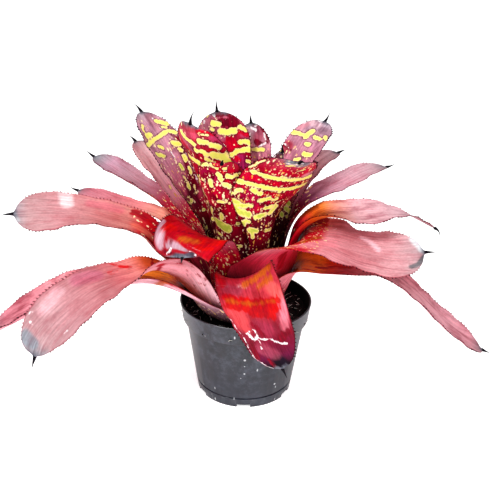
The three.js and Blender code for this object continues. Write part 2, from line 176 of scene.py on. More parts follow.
# White studio. Metres and watts.
studio = {
    "wall": "#ffffff",
    "shade": "#1c1a1c",  # what the room behind the viewer shows in glossy surfaces
    "shadeTilt": 1.4,  # more of it high up
    "shadeEnd": 0.55,
    "ambient": 0.57,  # strength of the walls as light
    "mirrored": 0.7,  # and in glossy surfaces
    "floorColour": "#ffffff",
    "floorRoughness": 0.8,
    "floorSide": 12,
    "floorGlow": 0.52,  # lit from below, so that shadows stay faint
    "aim": (0, 0, 0.14),
    "lights": {
        "key": {"power": 9, "size": 0.35, "place": (-0.5, -0.5, 1.0)},
        "spark": {"power": 2.2, "size": 0.07, "place": (0.3, -0.8, 0.8)},
    },
}


def addRoom():
    # glossy surfaces see a darker room towards the viewer's side, the eye sees plain white
    world = bpy.data.worlds.new("studio")
    bpy.context.scene.world = world
    world.use_nodes = True
    tree = world.node_tree
    tree.nodes.clear()
    towards = addNode(tree, "ShaderNodeTexCoord").outputs["Generated"]
    axis = addNode(tree, "ShaderNodeSeparateXYZ", {0: towards}).outputs
    low = addNode(tree, "ShaderNodeMath", {"operation": "MULTIPLY", 0: axis["Z"], 1: -studio["shadeTilt"]})
    away = addNode(tree, "ShaderNodeMath", {"operation": "ADD", 0: axis["Y"], 1: low})
    room = addNode(tree, "ShaderNodeValToRGB", {0: away},
                   [(0, studio["shade"]), (studio["shadeEnd"], studio["wall"])])
    ray = addNode(tree, "ShaderNodeLightPath").outputs
    glossy, straight = ray["Is Glossy Ray"], ray["Is Camera Ray"]
    seen = addNode(tree, "ShaderNodeMix", {"data_type": "RGBA", 0: glossy, 6: studio["wall"], 7: room})
    strong = addNode(tree, "ShaderNodeMix",
                     {"data_type": "FLOAT", 0: glossy, 2: studio["ambient"], 3: studio["mirrored"]})
    plain = addNode(tree, "ShaderNodeMix", {"data_type": "FLOAT", 0: straight, 2: strong, 3: 1})
    wall = addNode(tree, "ShaderNodeBackground", {"Color": seen, "Strength": plain})
    addNode(tree, "ShaderNodeOutputWorld", {"Surface": wall})


def addLights():
    for name, light in studio["lights"].items():
        data = bpy.data.lights.new(name, "AREA")
        data.energy = light["power"]
        data.size = light["size"]
        lamp = newObject(name, data)
        lamp.location = light["place"]
        lamp.rotation_euler = (Vector(studio["aim"]) - lamp.location).to_track_quat("-Z", "Y").to_euler()


def addFloor():
    # white laminate table top, matte
    material, tree = newMaterial("whiteLaminate")
    shader = addNode(tree, "ShaderNodeBsdfPrincipled", {
        "Base Color": studio["floorColour"], "Roughness": studio["floorRoughness"],
        "Emission Color": studio["floorColour"], "Emission Strength": studio["floorGlow"]})
    addNode(tree, "ShaderNodeOutputMaterial", {"Surface": shader})
    side = studio["floorSide"] / 2
    corners = [(-side, -side, 0), (side, -side, 0), (side, side, 0), (-side, side, 0)]
    mesh = bpy.data.meshes.new("floor")
    mesh.from_pydata(corners, [], [(0, 1, 2, 3)])
    mesh.materials.append(material)
    newObject("floor", mesh)


addRoom()
addLights()
addFloor()
bpy.context.scene.view_settings.view_transform = "Standard"
bpy.context.scene.view_settings.look = "Medium High Contrast"
print("camera and studio ready")


# How every leaf grows: a base that wraps the crown, then a free blade. Millimetres and degrees.
growth = {
    "firstRadius": 12,
    "firstHeight": 112.4,
    "radiusStep": 1.2,
    "heightStep": 1.45,
    "clasp": (25, 85),  # arc lengths: a sheath up to the first, a free blade past the second
    "sweep": 2,  # how late along the leaf its azimuth turns
    "wrap": 66,
    "midThickness": 1.0,
    "edgeThickness": 0.6,
    "edgeRound": 0.5,
    "mostRound": 0.4,  # of a half width
    "roundColumns": (0, 0.3),  # places of the outermost columns in the rounded edge
    "tipHalfWidth": 0.8,
    "leastBend": 0.001,
    "widthStations": (0.15, 0.42, 0.68, 0.9),
    "outline": ((0, 0.86), (0.1, 0.95), (0.22, 0.86), (0.36, 0.74), (0.5, 0.8), (0.68, 1), (0.8, 0.98),
                (0.88, 0.84), (0.94, 0.58), (0.97, 0.33), (0.985, 0.08), (1, 0.02)),
    "spanSteps": 80,
    "bendSteps": 120,
    "bendWeight": 0.3,  # rows lie closer together round bends
    "tipStart": 0.87,
    "bladeRows": 120,
    "tipRows": 32,
    "columns": 33,
    "ripple": 0.45,  # height and length of the waves in a margin
    "rippleLength": 24,
    "crossRipple": (0.6, 1.7),  # a second wave: share of the height, and how much faster it swings
    "rippleInside": 0.45,  # waves start here between midrib and margin
    "rippleStart": (0.4, 0.55),  # and rise and fade along the leaf
    "rippleEnd": (0.9, 0.97),
    "seed": 7,
}
spineShape = {
    "baseRadius": 1.7,
    "pointRadius": 0.12,
    "taper": 1.7,
    "knee": 0.55,  # share of the length where it bends
    "sunk": 3,
    "steps": 10,
    "sides": 8,
}
toothShape = {
    "Pitch": 3.3 * mm,
    "Height": 1.5 * mm,
    "Width": 1.5 * mm,
    "Lean": 0.9 * mm,
    "Least": 0.55,  # random scale
    "Most": 1.25,
    "pointRadius": 0.05 * mm,
    "sides": 5,
    "segments": 3,
    "curl": 2,
    "start": (0.3, 0.4),  # shares of the leaf's length where teeth grow and shrink
    "end": (0.935, 0.965),
    "smallest": 0.1,  # share of the full size under which none grows
    "aimColumn": 4,  # each points from this column of the blade to its margin
}


def through(knots, x):
    # smooth monotone curve through (x, y) knots
    spots, values = np.array(knots, float).T
    width = np.diff(spots)
    slope = np.diff(values) / width
    lean = np.zeros(len(spots))
    lean[0], lean[-1] = slope[0], slope[-1]
    for k in range(1, len(slope)):
        if slope[k - 1] * slope[k] > 0:
            before = 2 * width[k] + width[k - 1]
            after = width[k] + 2 * width[k - 1]
            lean[k] = (before + after) / (before / slope[k - 1] + after / slope[k])
    k = np.clip(np.searchsorted(spots, x) - 1, 0, len(width) - 1)
    s = np.clip((x - spots[k]) / width[k], 0, 1)
    rise = s * s * (3 - 2 * s)
    steady = values[k] * (1 - rise) + values[k + 1] * rise
    return steady + width[k] * s * (1 - s) * (lean[k] * (1 - s) - lean[k + 1] * s)


def evenly(values):
    return [(k / (len(values) - 1), value) for k, value in enumerate(values)]


def unit(vectors):
    return vectors / np.linalg.norm(vectors, axis=-1, keepdims=True)


def midrib(leaf):
    # centripetal curve from the leaf's seat on the crown through its path points
    start, end = leaf["azimuth"]
    seat = (growth["firstRadius"] + growth["radiusStep"] * leaf["ring"],
            growth["firstHeight"] - growth["heightStep"] * leaf["ring"])
    knots = [(start, *seat)]
    for k, (reach, height) in enumerate(leaf["path"]):
        share = k / (len(leaf["path"]) - 1)
        knots.append((start + (end - start) * share ** leaf.get("sweep", growth["sweep"]), reach, height))
    azimuth, reach, height = np.array(knots, float).T
    azimuth = np.radians(azimuth)
    points = np.stack([reach * np.cos(azimuth), reach * np.sin(azimuth), height], 1)
    points = np.vstack([2 * points[0] - points[1], points, 2 * points[-1] - points[-2]])
    s = np.linspace(0, 1, growth["spanSteps"], endpoint=False)[:, None]
    spans = []
    for a, b, c, d in zip(points, points[1:], points[2:], points[3:]):
        ab, bc, cd = (math.sqrt(np.linalg.norm(q - p)) for p, q in ((a, b), (b, c), (c, d)))
        leave = bc * ((b - a) / ab - (c - a) / (ab + bc) + (c - b) / bc)
        arrive = bc * ((c - b) / bc - (d - b) / (bc + cd) + (d - c) / cd)
        spans.append(b + leave * s + (3 * (c - b) - 2 * leave - arrive) * s ** 2
                     + (2 * (b - c) + leave + arrive) * s ** 3)
    return np.vstack([*spans, points[-2]])


def pick(share, wanted, values):
    return np.stack([np.interp(wanted, share, column) for column in values.T], -1)


def placeRows(share, tangents):
    # rows of points along the leaf: even in the tip, closer together round the bends before it
    steps, tipStart = growth["bendSteps"], growth["tipStart"]
    blade = np.linspace(0, tipStart, growth["bladeRows"], endpoint=False)
    places = np.linspace(0, tipStart, steps + 1)
    along = unit(pick(share, places, tangents))
    turns = np.arccos(np.clip(np.sum(along[1:] * along[:-1], 1), -1, 1))
    cost = np.concatenate([[0], np.cumsum(1 / steps + growth["bendWeight"] * turns)])
    blade = np.interp(blade / tipStart * cost[-1], cost, places)
    return np.concatenate([blade, np.linspace(tipStart, 1, growth["tipRows"])])


def blend(colours, position):
    # colour stops along the leaf, mixed in linear light
    spots = [spot for spot, _ in colours]
    values = np.array([linear(colour) for _, colour in colours])
    return pick(spots, position, values)


def growLeaf(leaf):
    # the middle surface of a leaf, and where each of its points lies on the leaf laid flat
    line = midrib(leaf)
    steps = np.linalg.norm(np.diff(line, axis=0), axis=1)
    arc = np.concatenate([[0], np.cumsum(steps)])
    length = arc[-1]
    share = arc / length
    tangents = unit(np.gradient(line, axis=0))
    t = placeRows(share, tangents)
    centre = pick(share, t, line)
    tangent = unit(pick(share, t, tangents))
    first = math.radians(leaf["azimuth"][0])
    turn = np.arctan2(centre[:, 1], centre[:, 0])
    turn = first + np.arcsin(np.sin(turn - first))
    across = np.stack([-np.sin(turn), np.cos(turn), np.zeros_like(turn)], 1)
    across = unit(across - tangent * np.sum(across * tangent, 1, keepdims=True))
    inward = np.cross(tangent, across)
    roll = np.radians(through(evenly(leaf["roll"]), t))[:, None]
    side = across * np.cos(roll) + inward * np.sin(roll)
    face = inward * np.cos(roll) - across * np.sin(roll)
    wide = np.interp(t, growth["widthStations"], leaf["half"]) * through(growth["outline"], t)
    half = np.maximum(wide, growth["tipHalfWidth"])
    bend = np.radians(through(evenly(leaf["channel"]), t))
    bend = np.where(np.abs(bend) < growth["leastBend"], growth["leastBend"], bend)

    # columns from one margin to the other, the outer ones close together so that the margin is round
    ends = growth["roundColumns"]
    inner = np.linspace(-1, 1, growth["columns"] - 2 * len(ends))
    lip = np.minimum(growth["edgeRound"] / half, growth["mostRound"])[:, None]
    u = np.hstack([-1 + lip * ends, inner * (1 - lip), 1 - lip * ends[::-1]])
    radius = np.hypot(centre[:, 0], centre[:, 1])
    spread = np.minimum(half / radius, math.radians(growth["wrap"]))
    free = ease(*leaf.get("clasp", growth["clasp"]), t * length)[:, None, None]
    angle = bend[:, None] * u
    blade = (centre[:, None] + side[:, None] * (half / bend)[:, None, None] * np.sin(angle)[..., None]
             + face[:, None] * (half / bend)[:, None, None] * (1 - np.cos(angle))[..., None])
    wrapAngle = turn[:, None] + u * spread[:, None]
    sheath = np.stack([radius[:, None] * np.cos(wrapAngle), radius[:, None] * np.sin(wrapAngle),
                       np.broadcast_to(centre[:, 2:], u.shape)], -1)
    middle = sheath * (1 - free) + blade * free
    normal = unit(np.cross(np.gradient(middle, axis=0), np.gradient(middle, axis=1)))

    # waves in the free margins, different on each leaf
    draw = np.random.default_rng(growth["seed"] + leaf["number"])
    wave = np.zeros_like(u)
    along = (t * length)[:, None]
    height, speed = growth["crossRipple"]
    for hand in (-1, 1):
        phase, second = draw.uniform(0, 2 * math.pi, 2)
        swing = 2 * math.pi * along / growth["rippleLength"]
        waves = np.sin(swing + phase) + height * np.sin(speed * swing + second)
        wave += waves * ease(growth["rippleInside"], 1, hand * u)
    fade = ease(*growth["rippleStart"], t) * (1 - ease(*growth["rippleEnd"], t))
    middle = middle + normal * (growth["ripple"] * wave * fade[:, None])[..., None]

    rim = (1 - np.abs(u)) * half[:, None]
    rounded = np.sqrt(1 - (1 - np.clip(rim / growth["edgeRound"], 0, 1)) ** 2)
    thick = (growth["midThickness"] + (growth["edgeThickness"] - growth["midThickness"]) * u * u) * rounded
    return {
        "middle": middle, "normal": normal, "thick": thick, "u": u, "t": t, "rim": rim,
        "length": length, "tangent": tangent, "face": face,
        "plan": np.stack([u * half[:, None], np.broadcast_to(along, u.shape)], -1),
    }


# How colours are laid on the leaves. Millimetres.
paint = {
    # the last kind of patch is a painted highlight: white glints and pale streaks
    "patches": ("lemon", "orange", "wine", "scarlet", "chalk"),
    "farOutside": -9.0,
    "washCore": 0.45,  # share of a wash's radius that it covers in full
    "scatterSeed": 57,
    "scatterStretch": 1.2,  # most that a random blotch is drawn out, for its width
    "scatterLean": 0.5,
    "scatterInset": 2,  # columns left free at each margin
    "spine": "#1a1414",
    "leafShift": (0, 0, 37),  # sets the noise of one leaf apart from the next leaf's
    "faceShift": (0, 0, 11),  # and of one face from the other's
    "hookRim": 9,  # what a hook has as its distance from the margin, clear of the dark line there
}


def planPoint(grown, tree, x, y):
    # the spot of the leaf laid flat that lies behind a place in the camera's frame
    columns = grown["u"].shape[1]
    ray = rayThrough(x, y)
    hit, _, index, _ = tree.ray_cast(viewPlace, ray)
    if hit is None:
        gap = np.linalg.norm(np.cross(grown["middle"] - np.array(viewPlace), np.array(ray)), axis=-1)
        return grown["plan"][np.unravel_index(np.argmin(gap), gap.shape)]
    i, j = divmod(index, columns - 1)
    square = ([i, i + 1, i + 1, i], [j, j, j + 1, j + 1])
    weight = 1 / (np.linalg.norm(grown["middle"][square] - np.array(hit), axis=1) + 1e-6) ** 2
    return weight @ grown["plan"][square] / weight.sum()


def middleTree(grown):
    rows, columns = grown["u"].shape
    corner = np.arange(rows * columns).reshape(rows, columns)
    faces = np.stack([corner[:-1, :-1], corner[1:, :-1], corner[1:, 1:], corner[:-1, 1:]], -1).reshape(-1, 4)
    return BVHTree.FromPolygons(grown["middle"].reshape(-1, 3).tolist(), faces.tolist())


def strokeGap(plan, points):
    # distance on the flat leaf from every place to a line of points
    points = np.array(points)
    if len(points) == 1:
        return np.linalg.norm(plan - points[0], axis=-1)
    gaps = []
    for start, end in zip(points, points[1:]):
        run = end - start
        share = np.clip(((plan - start) @ run) / max(run @ run, 1e-6), 0, 1)
        gaps.append(np.linalg.norm(plan - start - share[..., None] * run, axis=-1))
    return np.min(gaps, axis=0)


def scatterBlotches(leaf, grown, inside):
    # random blotches where the leaf has none yet
    scatter, plan = leaf["scatter"], grown["plan"]
    draw = np.random.default_rng(paint["scatterSeed"] + leaf["number"])
    placed = inside["lemon"].copy()
    inset = paint["scatterInset"]
    for _ in range(scatter["count"]):
        row = np.searchsorted(grown["t"], draw.uniform(*scatter["along"]))
        column = draw.integers(inset, grown["u"].shape[1] - inset)
        size = draw.uniform(*scatter["size"])
        stretch = draw.uniform(0, paint["scatterStretch"])
        lean = draw.uniform(-paint["scatterLean"], paint["scatterLean"])
        if placed[row, column] > -scatter["clear"]:
            continue
        spot = plan[row, column]
        reach = size * stretch * np.array([math.cos(lean), math.sin(lean)])
        blot = size / 2 - strokeGap(plan, [spot - reach, spot + reach])
        inside["lemon"] = np.maximum(inside["lemon"], blot)


def paintLeaf(leaf, grown):
    # colours of a leaf for every place on it, and how far each place lies inside a patch, in millimetres
    tree = middleTree(grown)
    t = np.broadcast_to(grown["t"][:, None], grown["u"].shape)

    def gapTo(places):
        spots = [planPoint(grown, tree, x, y) for x, y in zip(places[::2], places[1::2])]
        return strokeGap(grown["plan"], spots)

    faces = [blend(leaf["above"], t), blend(leaf.get("below", leaf["above"]), t)]
    for colour, strength, radius, *places in leaf.get("washes", ()):
        amount = (strength * (1 - ease(paint["washCore"], 1, gapTo(places) / radius)))[..., None]
        faces = [face * (1 - amount) + np.array(linear(colour)) * amount for face in faces]
    inside = {kind: np.full(t.shape, paint["farOutside"]) for kind in paint["patches"]}
    for kind, *strokes in (*leaf.get("patches", ()), ("lemon", *leaf.get("blotches", ()))):
        for *places, width in strokes:
            inside[kind] = np.maximum(inside[kind], width / 2 - gapTo(places))
    if "scatter" in leaf:
        scatterBlotches(leaf, grown, inside)
    flecks = [amount * (1 - ease(start, end, t))
              for amount, start, end in (leaf["flecks"], leaf.get("flecksBelow", leaf["flecks"]))]
    return faces, inside, flecks


def spineTube(leaf, grown):
    # tapered hooked tube, its root sunk in the tip
    length, turn = leaf["spine"]
    turn = math.radians(turn)
    tangent, face = grown["tangent"][-1], grown["face"][-1]
    tip = grown["middle"][-1].mean(axis=0)
    apex = tip + tangent * length * math.cos(turn) + face * length * math.sin(turn)
    knee = tip + tangent * length * spineShape["knee"]
    root = tip - tangent * spineShape["sunk"]
    sides, steps = spineShape["sides"], spineShape["steps"]
    side = unit(np.cross(tangent, face))
    points = []
    for k in range(steps + 1):
        s = k / steps
        at = root * (1 - s) ** 2 + knee * 2 * s * (1 - s) + apex * s * s
        ahead = unit((knee - root) * (1 - s) + (apex - knee) * s)
        up = np.cross(side, ahead)
        taper = (1 - s) ** spineShape["taper"]
        radius = spineShape["pointRadius"] + (spineShape["baseRadius"] - spineShape["pointRadius"]) * taper
        for n in range(sides):
            angle = 2 * math.pi * n / sides
            points.append(at + radius * (side * math.cos(angle) + up * math.sin(angle)))
    faces = [tuple(range(sides))[::-1], tuple(range(steps * sides, (steps + 1) * sides))]
    for k in range(steps):
        for n in range(sides):
            m = (n + 1) % sides
            a, b = k * sides, (k + 1) * sides
            faces.append((a + n, a + m, b + m, b + n))
    return np.array(points), faces


def bladeFaces(rows, columns):
    # faces of the upper and the lower side, which share the outermost columns, and of the two ends
    topCorner = np.arange(rows * columns).reshape(rows, columns)
    lowCorner = topCorner.copy()
    lowCorner[:, 1:-1] = rows * columns + np.arange(rows * (columns - 2)).reshape(rows, columns - 2)
    faces = []
    for grid, turned in ((topCorner, False), (lowCorner, True)):
        a, b, c, d = grid[:-1, :-1], grid[1:, :-1], grid[1:, 1:], grid[:-1, 1:]
        order = (a, d, c, b) if turned else (a, b, c, d)
        faces += np.stack(order, -1).reshape(-1, 4).tolist()
    for row, turned in ((0, False), (rows - 1, True)):
        for j in range(columns - 1):
            loop = [lowCorner[row, j], topCorner[row, j], topCorner[row, j + 1], lowCorner[row, j + 1]]
            loop = list(dict.fromkeys(int(corner) for corner in loop))
            faces.append(loop[::-1] if turned else loop)
    return faces


def leafMesh(name, leaf):
    # upper face, lower face, spine, and a loose line along each margin, which the teeth grow on
    grown = growLeaf(leaf)
    (above, below), inside, flecks = paintLeaf(leaf, grown)
    rows, columns = grown["u"].shape
    lift = (grown["normal"] * grown["thick"][..., None]) / 2
    upper = (grown["middle"] + lift).reshape(-1, 3)
    lower = (grown["middle"] - lift)[:, 1:-1].reshape(-1, 3)
    spinePoints, spineFaces = spineTube(leaf, grown)
    points = np.vstack([upper, lower, spinePoints, grown["middle"][:, 0], grown["middle"][:, -1]])
    start = len(upper) + len(lower)
    faces = bladeFaces(rows, columns) + [[start + corner for corner in loop] for loop in spineFaces]
    edgeStart = start + len(spinePoints)
    edges = [(edgeStart + k, edgeStart + k + 1) for k in range(2 * rows - 1) if k != rows - 1]
    mesh = bpy.data.meshes.new(name)
    mesh.from_pydata((points * mm).tolist(), edges, faces)
    mesh.shade_smooth()

    def spreadOut(topValue, lowValue, spineValue):
        # one value per point: upper face, lower face, spine, margins
        width = () if topValue.ndim == 2 else (topValue.shape[-1],)
        return np.concatenate([
            topValue.reshape(-1, *width), lowValue[:, 1:-1].reshape(-1, *width),
            np.broadcast_to(np.array(spineValue, float), (len(spinePoints), *width)),
            topValue[:, 0], topValue[:, -1]])

    blank = np.zeros_like(grown["u"])
    solid = np.ones((*blank.shape, 1))
    above, below = (np.concatenate([face, solid], -1) for face in (above, below))
    shift = np.array(paint["leafShift"]) * leaf["number"]
    place = np.concatenate([grown["plan"], blank[..., None]], -1) + shift
    tipGap = ((1 - grown["t"]) * grown["length"])[:, None] + leaf.get("freshTip", 0) + blank
    isSpine, isMargin, toothSize = np.zeros((3, len(points)))
    isSpine[start:edgeStart] = 1
    isMargin[edgeStart:] = 1
    toothSize[edgeStart:] = np.tile(ease(*toothShape["start"], grown["t"])
                                    * (1 - ease(*toothShape["end"], grown["t"])), 2)
    outward = np.zeros((len(points), 3))
    aim = toothShape["aimColumn"]
    outward[edgeStart:edgeStart + rows] = unit(grown["middle"][:, 0] - grown["middle"][:, aim])
    outward[edgeStart + rows:] = unit(grown["middle"][:, -1] - grown["middle"][:, -1 - aim])
    looks = {
        "tint": spreadOut(above, below, [*linear(paint["spine"]), 1]),
        "plan": spreadOut(place, place + paint["faceShift"], [0, 0, 0]),
        **{kind: spreadOut(field, field, paint["farOutside"]) for kind, field in inside.items()},
        "tipGap": spreadOut(tipGap, tipGap, 0),
        "fleck": spreadOut(*flecks, 0),
        "rim": spreadOut(grown["rim"], grown["rim"], paint["hookRim"]),
        "underside": spreadOut(blank, blank + 1, 0),
        "spine": isSpine,
        "margin": isMargin,
        "outward": outward,
        "toothSize": toothSize,
    }
    forms = {1: ("FLOAT", "value"), 3: ("FLOAT_VECTOR", "vector"), 4: ("FLOAT_COLOR", "color")}
    for attribute, values in looks.items():
        kind, slot = forms[values.size // len(points)]
        layer = mesh.attributes.new(attribute, kind, "POINT")
        layer.data.foreach_set(slot, np.ascontiguousarray(values, dtype=np.float32).ravel())
    return mesh


def teethTree():
    # sets a small hooked tooth on every length of margin
    tree, given = newTree("marginTeeth", "Leaf", {
        "Pitch": "Float", "Height": "Float", "Width": "Float", "Lean": "Float", "Least": "Float",
        "Most": "Float", "Seed": "Int", "Skin": "Material"})
    margin, outward, size = (
        addNode(tree, "GeometryNodeInputNamedAttribute", {"data_type": kind, "Name": name})
        for name, kind in (("margin", "FLOAT"), ("outward", "FLOAT_VECTOR"), ("toothSize", "FLOAT")))
    parts = addNode(tree, "GeometryNodeSeparateGeometry",
                    {"domain": "POINT", "Geometry": given["Leaf"], "Selection": margin})
    lines = addNode(tree, "GeometryNodeMeshToCurve", {"Mesh": parts})
    spots = addNode(tree, "GeometryNodeResampleCurve",
                    {"mode": "LENGTH", "Curve": lines, "Length": given["Pitch"]})

    # one tooth: a cone that leans over towards its point
    halfWidth = addNode(tree, "ShaderNodeMath", {"operation": "MULTIPLY", 0: given["Width"], 1: 0.5})
    cone = addNode(tree, "GeometryNodeMeshCone", {
        "Vertices": toothShape["sides"], "Side Segments": toothShape["segments"],
        "Radius Top": toothShape["pointRadius"], "Radius Bottom": halfWidth, "Depth": given["Height"]})
    height = addNode(tree, "ShaderNodeSeparateXYZ", {0: addNode(tree, "GeometryNodeInputPosition")})
    share = addNode(tree, "ShaderNodeMath",
                    {"operation": "DIVIDE", 0: height.outputs["Z"], 1: given["Height"]})
    curled = addNode(tree, "ShaderNodeMath", {"operation": "POWER", 0: share, 1: toothShape["curl"]})
    lean = addNode(tree, "ShaderNodeMath", {"operation": "MULTIPLY", 0: curled, 1: given["Lean"]})
    shift = addNode(tree, "ShaderNodeCombineXYZ", {0: lean})
    hooked = addNode(tree, "GeometryNodeSetPosition", {"Geometry": cone, "Offset": shift})
    tooth = addNode(tree, "GeometryNodeStoreNamedAttribute", {
        "data_type": "FLOAT", "domain": "POINT", "Name": "spine", "Geometry": hooked, "Value": share})

    # each one points out of the leaf and leans towards its tip
    facing = addNode(tree, "FunctionNodeAlignRotationToVector", {"axis": "Z", "Vector": outward})
    turned = addNode(tree, "FunctionNodeAlignRotationToVector", {
        "axis": "X", "pivot_axis": "Z", "Rotation": facing,
        "Vector": addNode(tree, "GeometryNodeInputTangent")})
    grows = addNode(tree, "FunctionNodeCompare", {
        "data_type": "FLOAT", "operation": "GREATER_THAN", "A": size, "B": toothShape["smallest"]})
    random = addNode(tree, "FunctionNodeRandomValue",
                     {"data_type": "FLOAT", 2: given["Least"], 3: given["Most"], "Seed": given["Seed"]})
    scale = addNode(tree, "ShaderNodeMath", {"operation": "MULTIPLY", 0: random, 1: size})
    teeth = addNode(tree, "GeometryNodeInstanceOnPoints", {
        "Points": spots, "Instance": tooth, "Rotation": turned, "Scale": scale, "Selection": grows})
    real = addNode(tree, "GeometryNodeRealizeInstances", {0: teeth})
    joined = addNode(tree, "GeometryNodeJoinGeometry", {0: real})
    tree.links.new(parts.outputs["Inverted"], joined.inputs[0])
    skinned = addNode(tree, "GeometryNodeSetMaterial", {"Geometry": joined, "Material": given["Skin"]})
    addNode(tree, "NodeGroupOutput", {0: skinned})
    return tree


# Skin of the leaves: a thin waxy cuticle over flesh, which gives a satin gloss that breaks along the
# fine lengthwise veins. Millimetres on the leaf laid flat.
skin = {
    "ior": 1.4,
    "coatRoughness": 0.09,
    # noise: grain across and along the leaf, detail, and a shift that sets it apart
    "noise": {
        "veins": (1.5, 34, 3, 0),
        "streaks": (4.5, 55, 4, 20),
        "clouds": (13, 23.4, 6, 40),
        "grain": (1.6, 2.24, 3, 80),
        "waves": (20, 34, 2, 120),
        "coarse": (4, 6.4, 3, 160),
        "fine": (1.3, 2.08, 3, 200),
        "limy": (5, 6.5, 3, 240),
        "specks": (1.2, 1.44, 2, 260),
        "dried": (5, 8, 3, 280),
    },
    "noiseRoughness": 0.6,
    # how far each noise moves an edge to either side, and how deep each one lies in the surface
    "wander": {"coarse": 2.1, "fine": 1.155, "streaks": 4.5, "dried": 5},
    "relief": {"veins": 0.12, "waves": 1.3, "streaks": 0.36},
    "light": {"veins": (0.32, 0.68, 0.78, 1.18), "grain": (0.3, 0.7, 0.9, 1.1)},
    # where a layer starts and is full in what it follows, and its strength at both if that isn't 0 and 1
    "spans": {
        "mottle": (0.46, 0.66),
        "streaked": (0.52, 0.7, 0, 0.6),
        "fleckEdge": (-0.03, 0.05),
        "golden": (0.55, 0.95),
        "outline": (-1.4, -0.2),
        "blotch": (-0.2, 0.15),
        "yellow": (0.1, 1.3),
        "specked": (0.68, 0.74, 0, 0.6),
        "dry": (7, 3),
        "ashen": (0.4, 0.6),
        "rim": (0.2, 0.9, 1, 0),
        "hook": (0.1, 0.5),
        "rough": (0.3, 0.7, 0.3, 0.48),
    },
    # a blotch is limy in its middle, in places, and away from the leaf's tip
    "limySpans": ((0.6, 1.8, 0), (0.36, 0.52, 0.2), (30, 75, 0.15)),
    "patchShare": 0.92,
    # patches in the order that they are laid: how soft the edge is and whether it is streaky, the noise
    # that the second colour follows, and where that starts and is full
    "patches": {
        "wine": (0.8, True, "streaks", 0.42, 0.6),
        "scarlet": (0.8, True, "clouds", 0.42, 0.6),
        "orange": (1.6, True, "clouds", 0.46, 0.64),
        # the palest patches are painted highlights: white glints and pale streaks
        "chalk": (0.3, False, "grain", 0.5, 0.8),
    },
    # flecks drawn out along the leaf, and rounder dots: width, length, largest size in a cell, shift
    "flecks": ((2.4, 5.6, 0.46, 0), (2.3, 2.3, 0.4, 60)),
    "fleckShare": 0.66,
    "fleckSmallest": 0.1,
    "fleckScale": 0.8,
    "fleckBend": (0.5, 2.2),  # scale and reach of the noise that bends them
    "blotchStreaks": 0.32,
    "orange": ("#b0541c", "#942812"),
    # colours of the painted highlights
    "chalk": ("#faf0f2", "#d8a8b4"),
    "lemon": "#f6ec78",
    "lime": "#b9c650",
    "peach": "#eecaa0",
    "cream": "#f4dcb4",
    "gold": "#e6ac50",
    "dry": "#7d7e88",
    "ash": "#4c4c56",
    "scurf": "#a8828e",  # grey down of the undersides
    "hook": "#17121a",
    "kinds": {
        "leaf_spotted": {"deep": "#8c6480", "mottle": 0.7, "sheen": 0.04, "coat": 0.03, "down": 0.0,
                         "scarlet": ("#d2002c", "#a40026"), "wine": ("#5c0018", "#860026")},
        "leaf_red": {"deep": "#b46c80", "mottle": 0.7, "sheen": 0.04, "coat": 0.1, "down": 0.0,
                     "scarlet": ("#bc0e0c", "#920818"), "wine": ("#64041a", "#880826")},
        "leaf_pink": {"deep": "#e0b0b8", "mottle": 0.6, "sheen": 0.06, "coat": 0.04, "down": 0.1,
                      "scarlet": ("#c8141c", "#a00c1c"), "wine": ("#8c0a1c", "#ac1428")},
    },
}


def leafFields(tree):
    # what varies over a leaf: the values that its mesh carries, noise, and the wander of edges
    fields = {}
    carried = {"Vector": ("plan",), "Color": ("tint",),
               "Fac": ("underside", "fleck", "tipGap", "rim", "spine", *paint["patches"])}
    for output, names in carried.items():
        for name in names:
            stored = addNode(tree, "ShaderNodeAttribute", {"attribute_name": name})
            fields[name] = stored.outputs[output]
    for name, (across, along, detail, shift) in skin["noise"].items():
        spread = addNode(tree, "ShaderNodeMapping", {
            "Scale": (1 / across, 1 / along, 1), "Location": (shift, 0, 0), "Vector": fields["plan"]})
        fields[name] = addNode(tree, "ShaderNodeTexNoise", {
            "Scale": 1, "Detail": detail, "Roughness": skin["noiseRoughness"], "Vector": spread})
    wander = {}
    for name, reach in skin["wander"].items():
        centred = addNode(tree, "ShaderNodeMath", {"operation": "SUBTRACT", 0: fields[name], 1: 0.5})
        wander[name] = addNode(tree, "ShaderNodeMath", {"operation": "MULTIPLY", 0: centred, 1: 2 * reach})
    return fields, wander


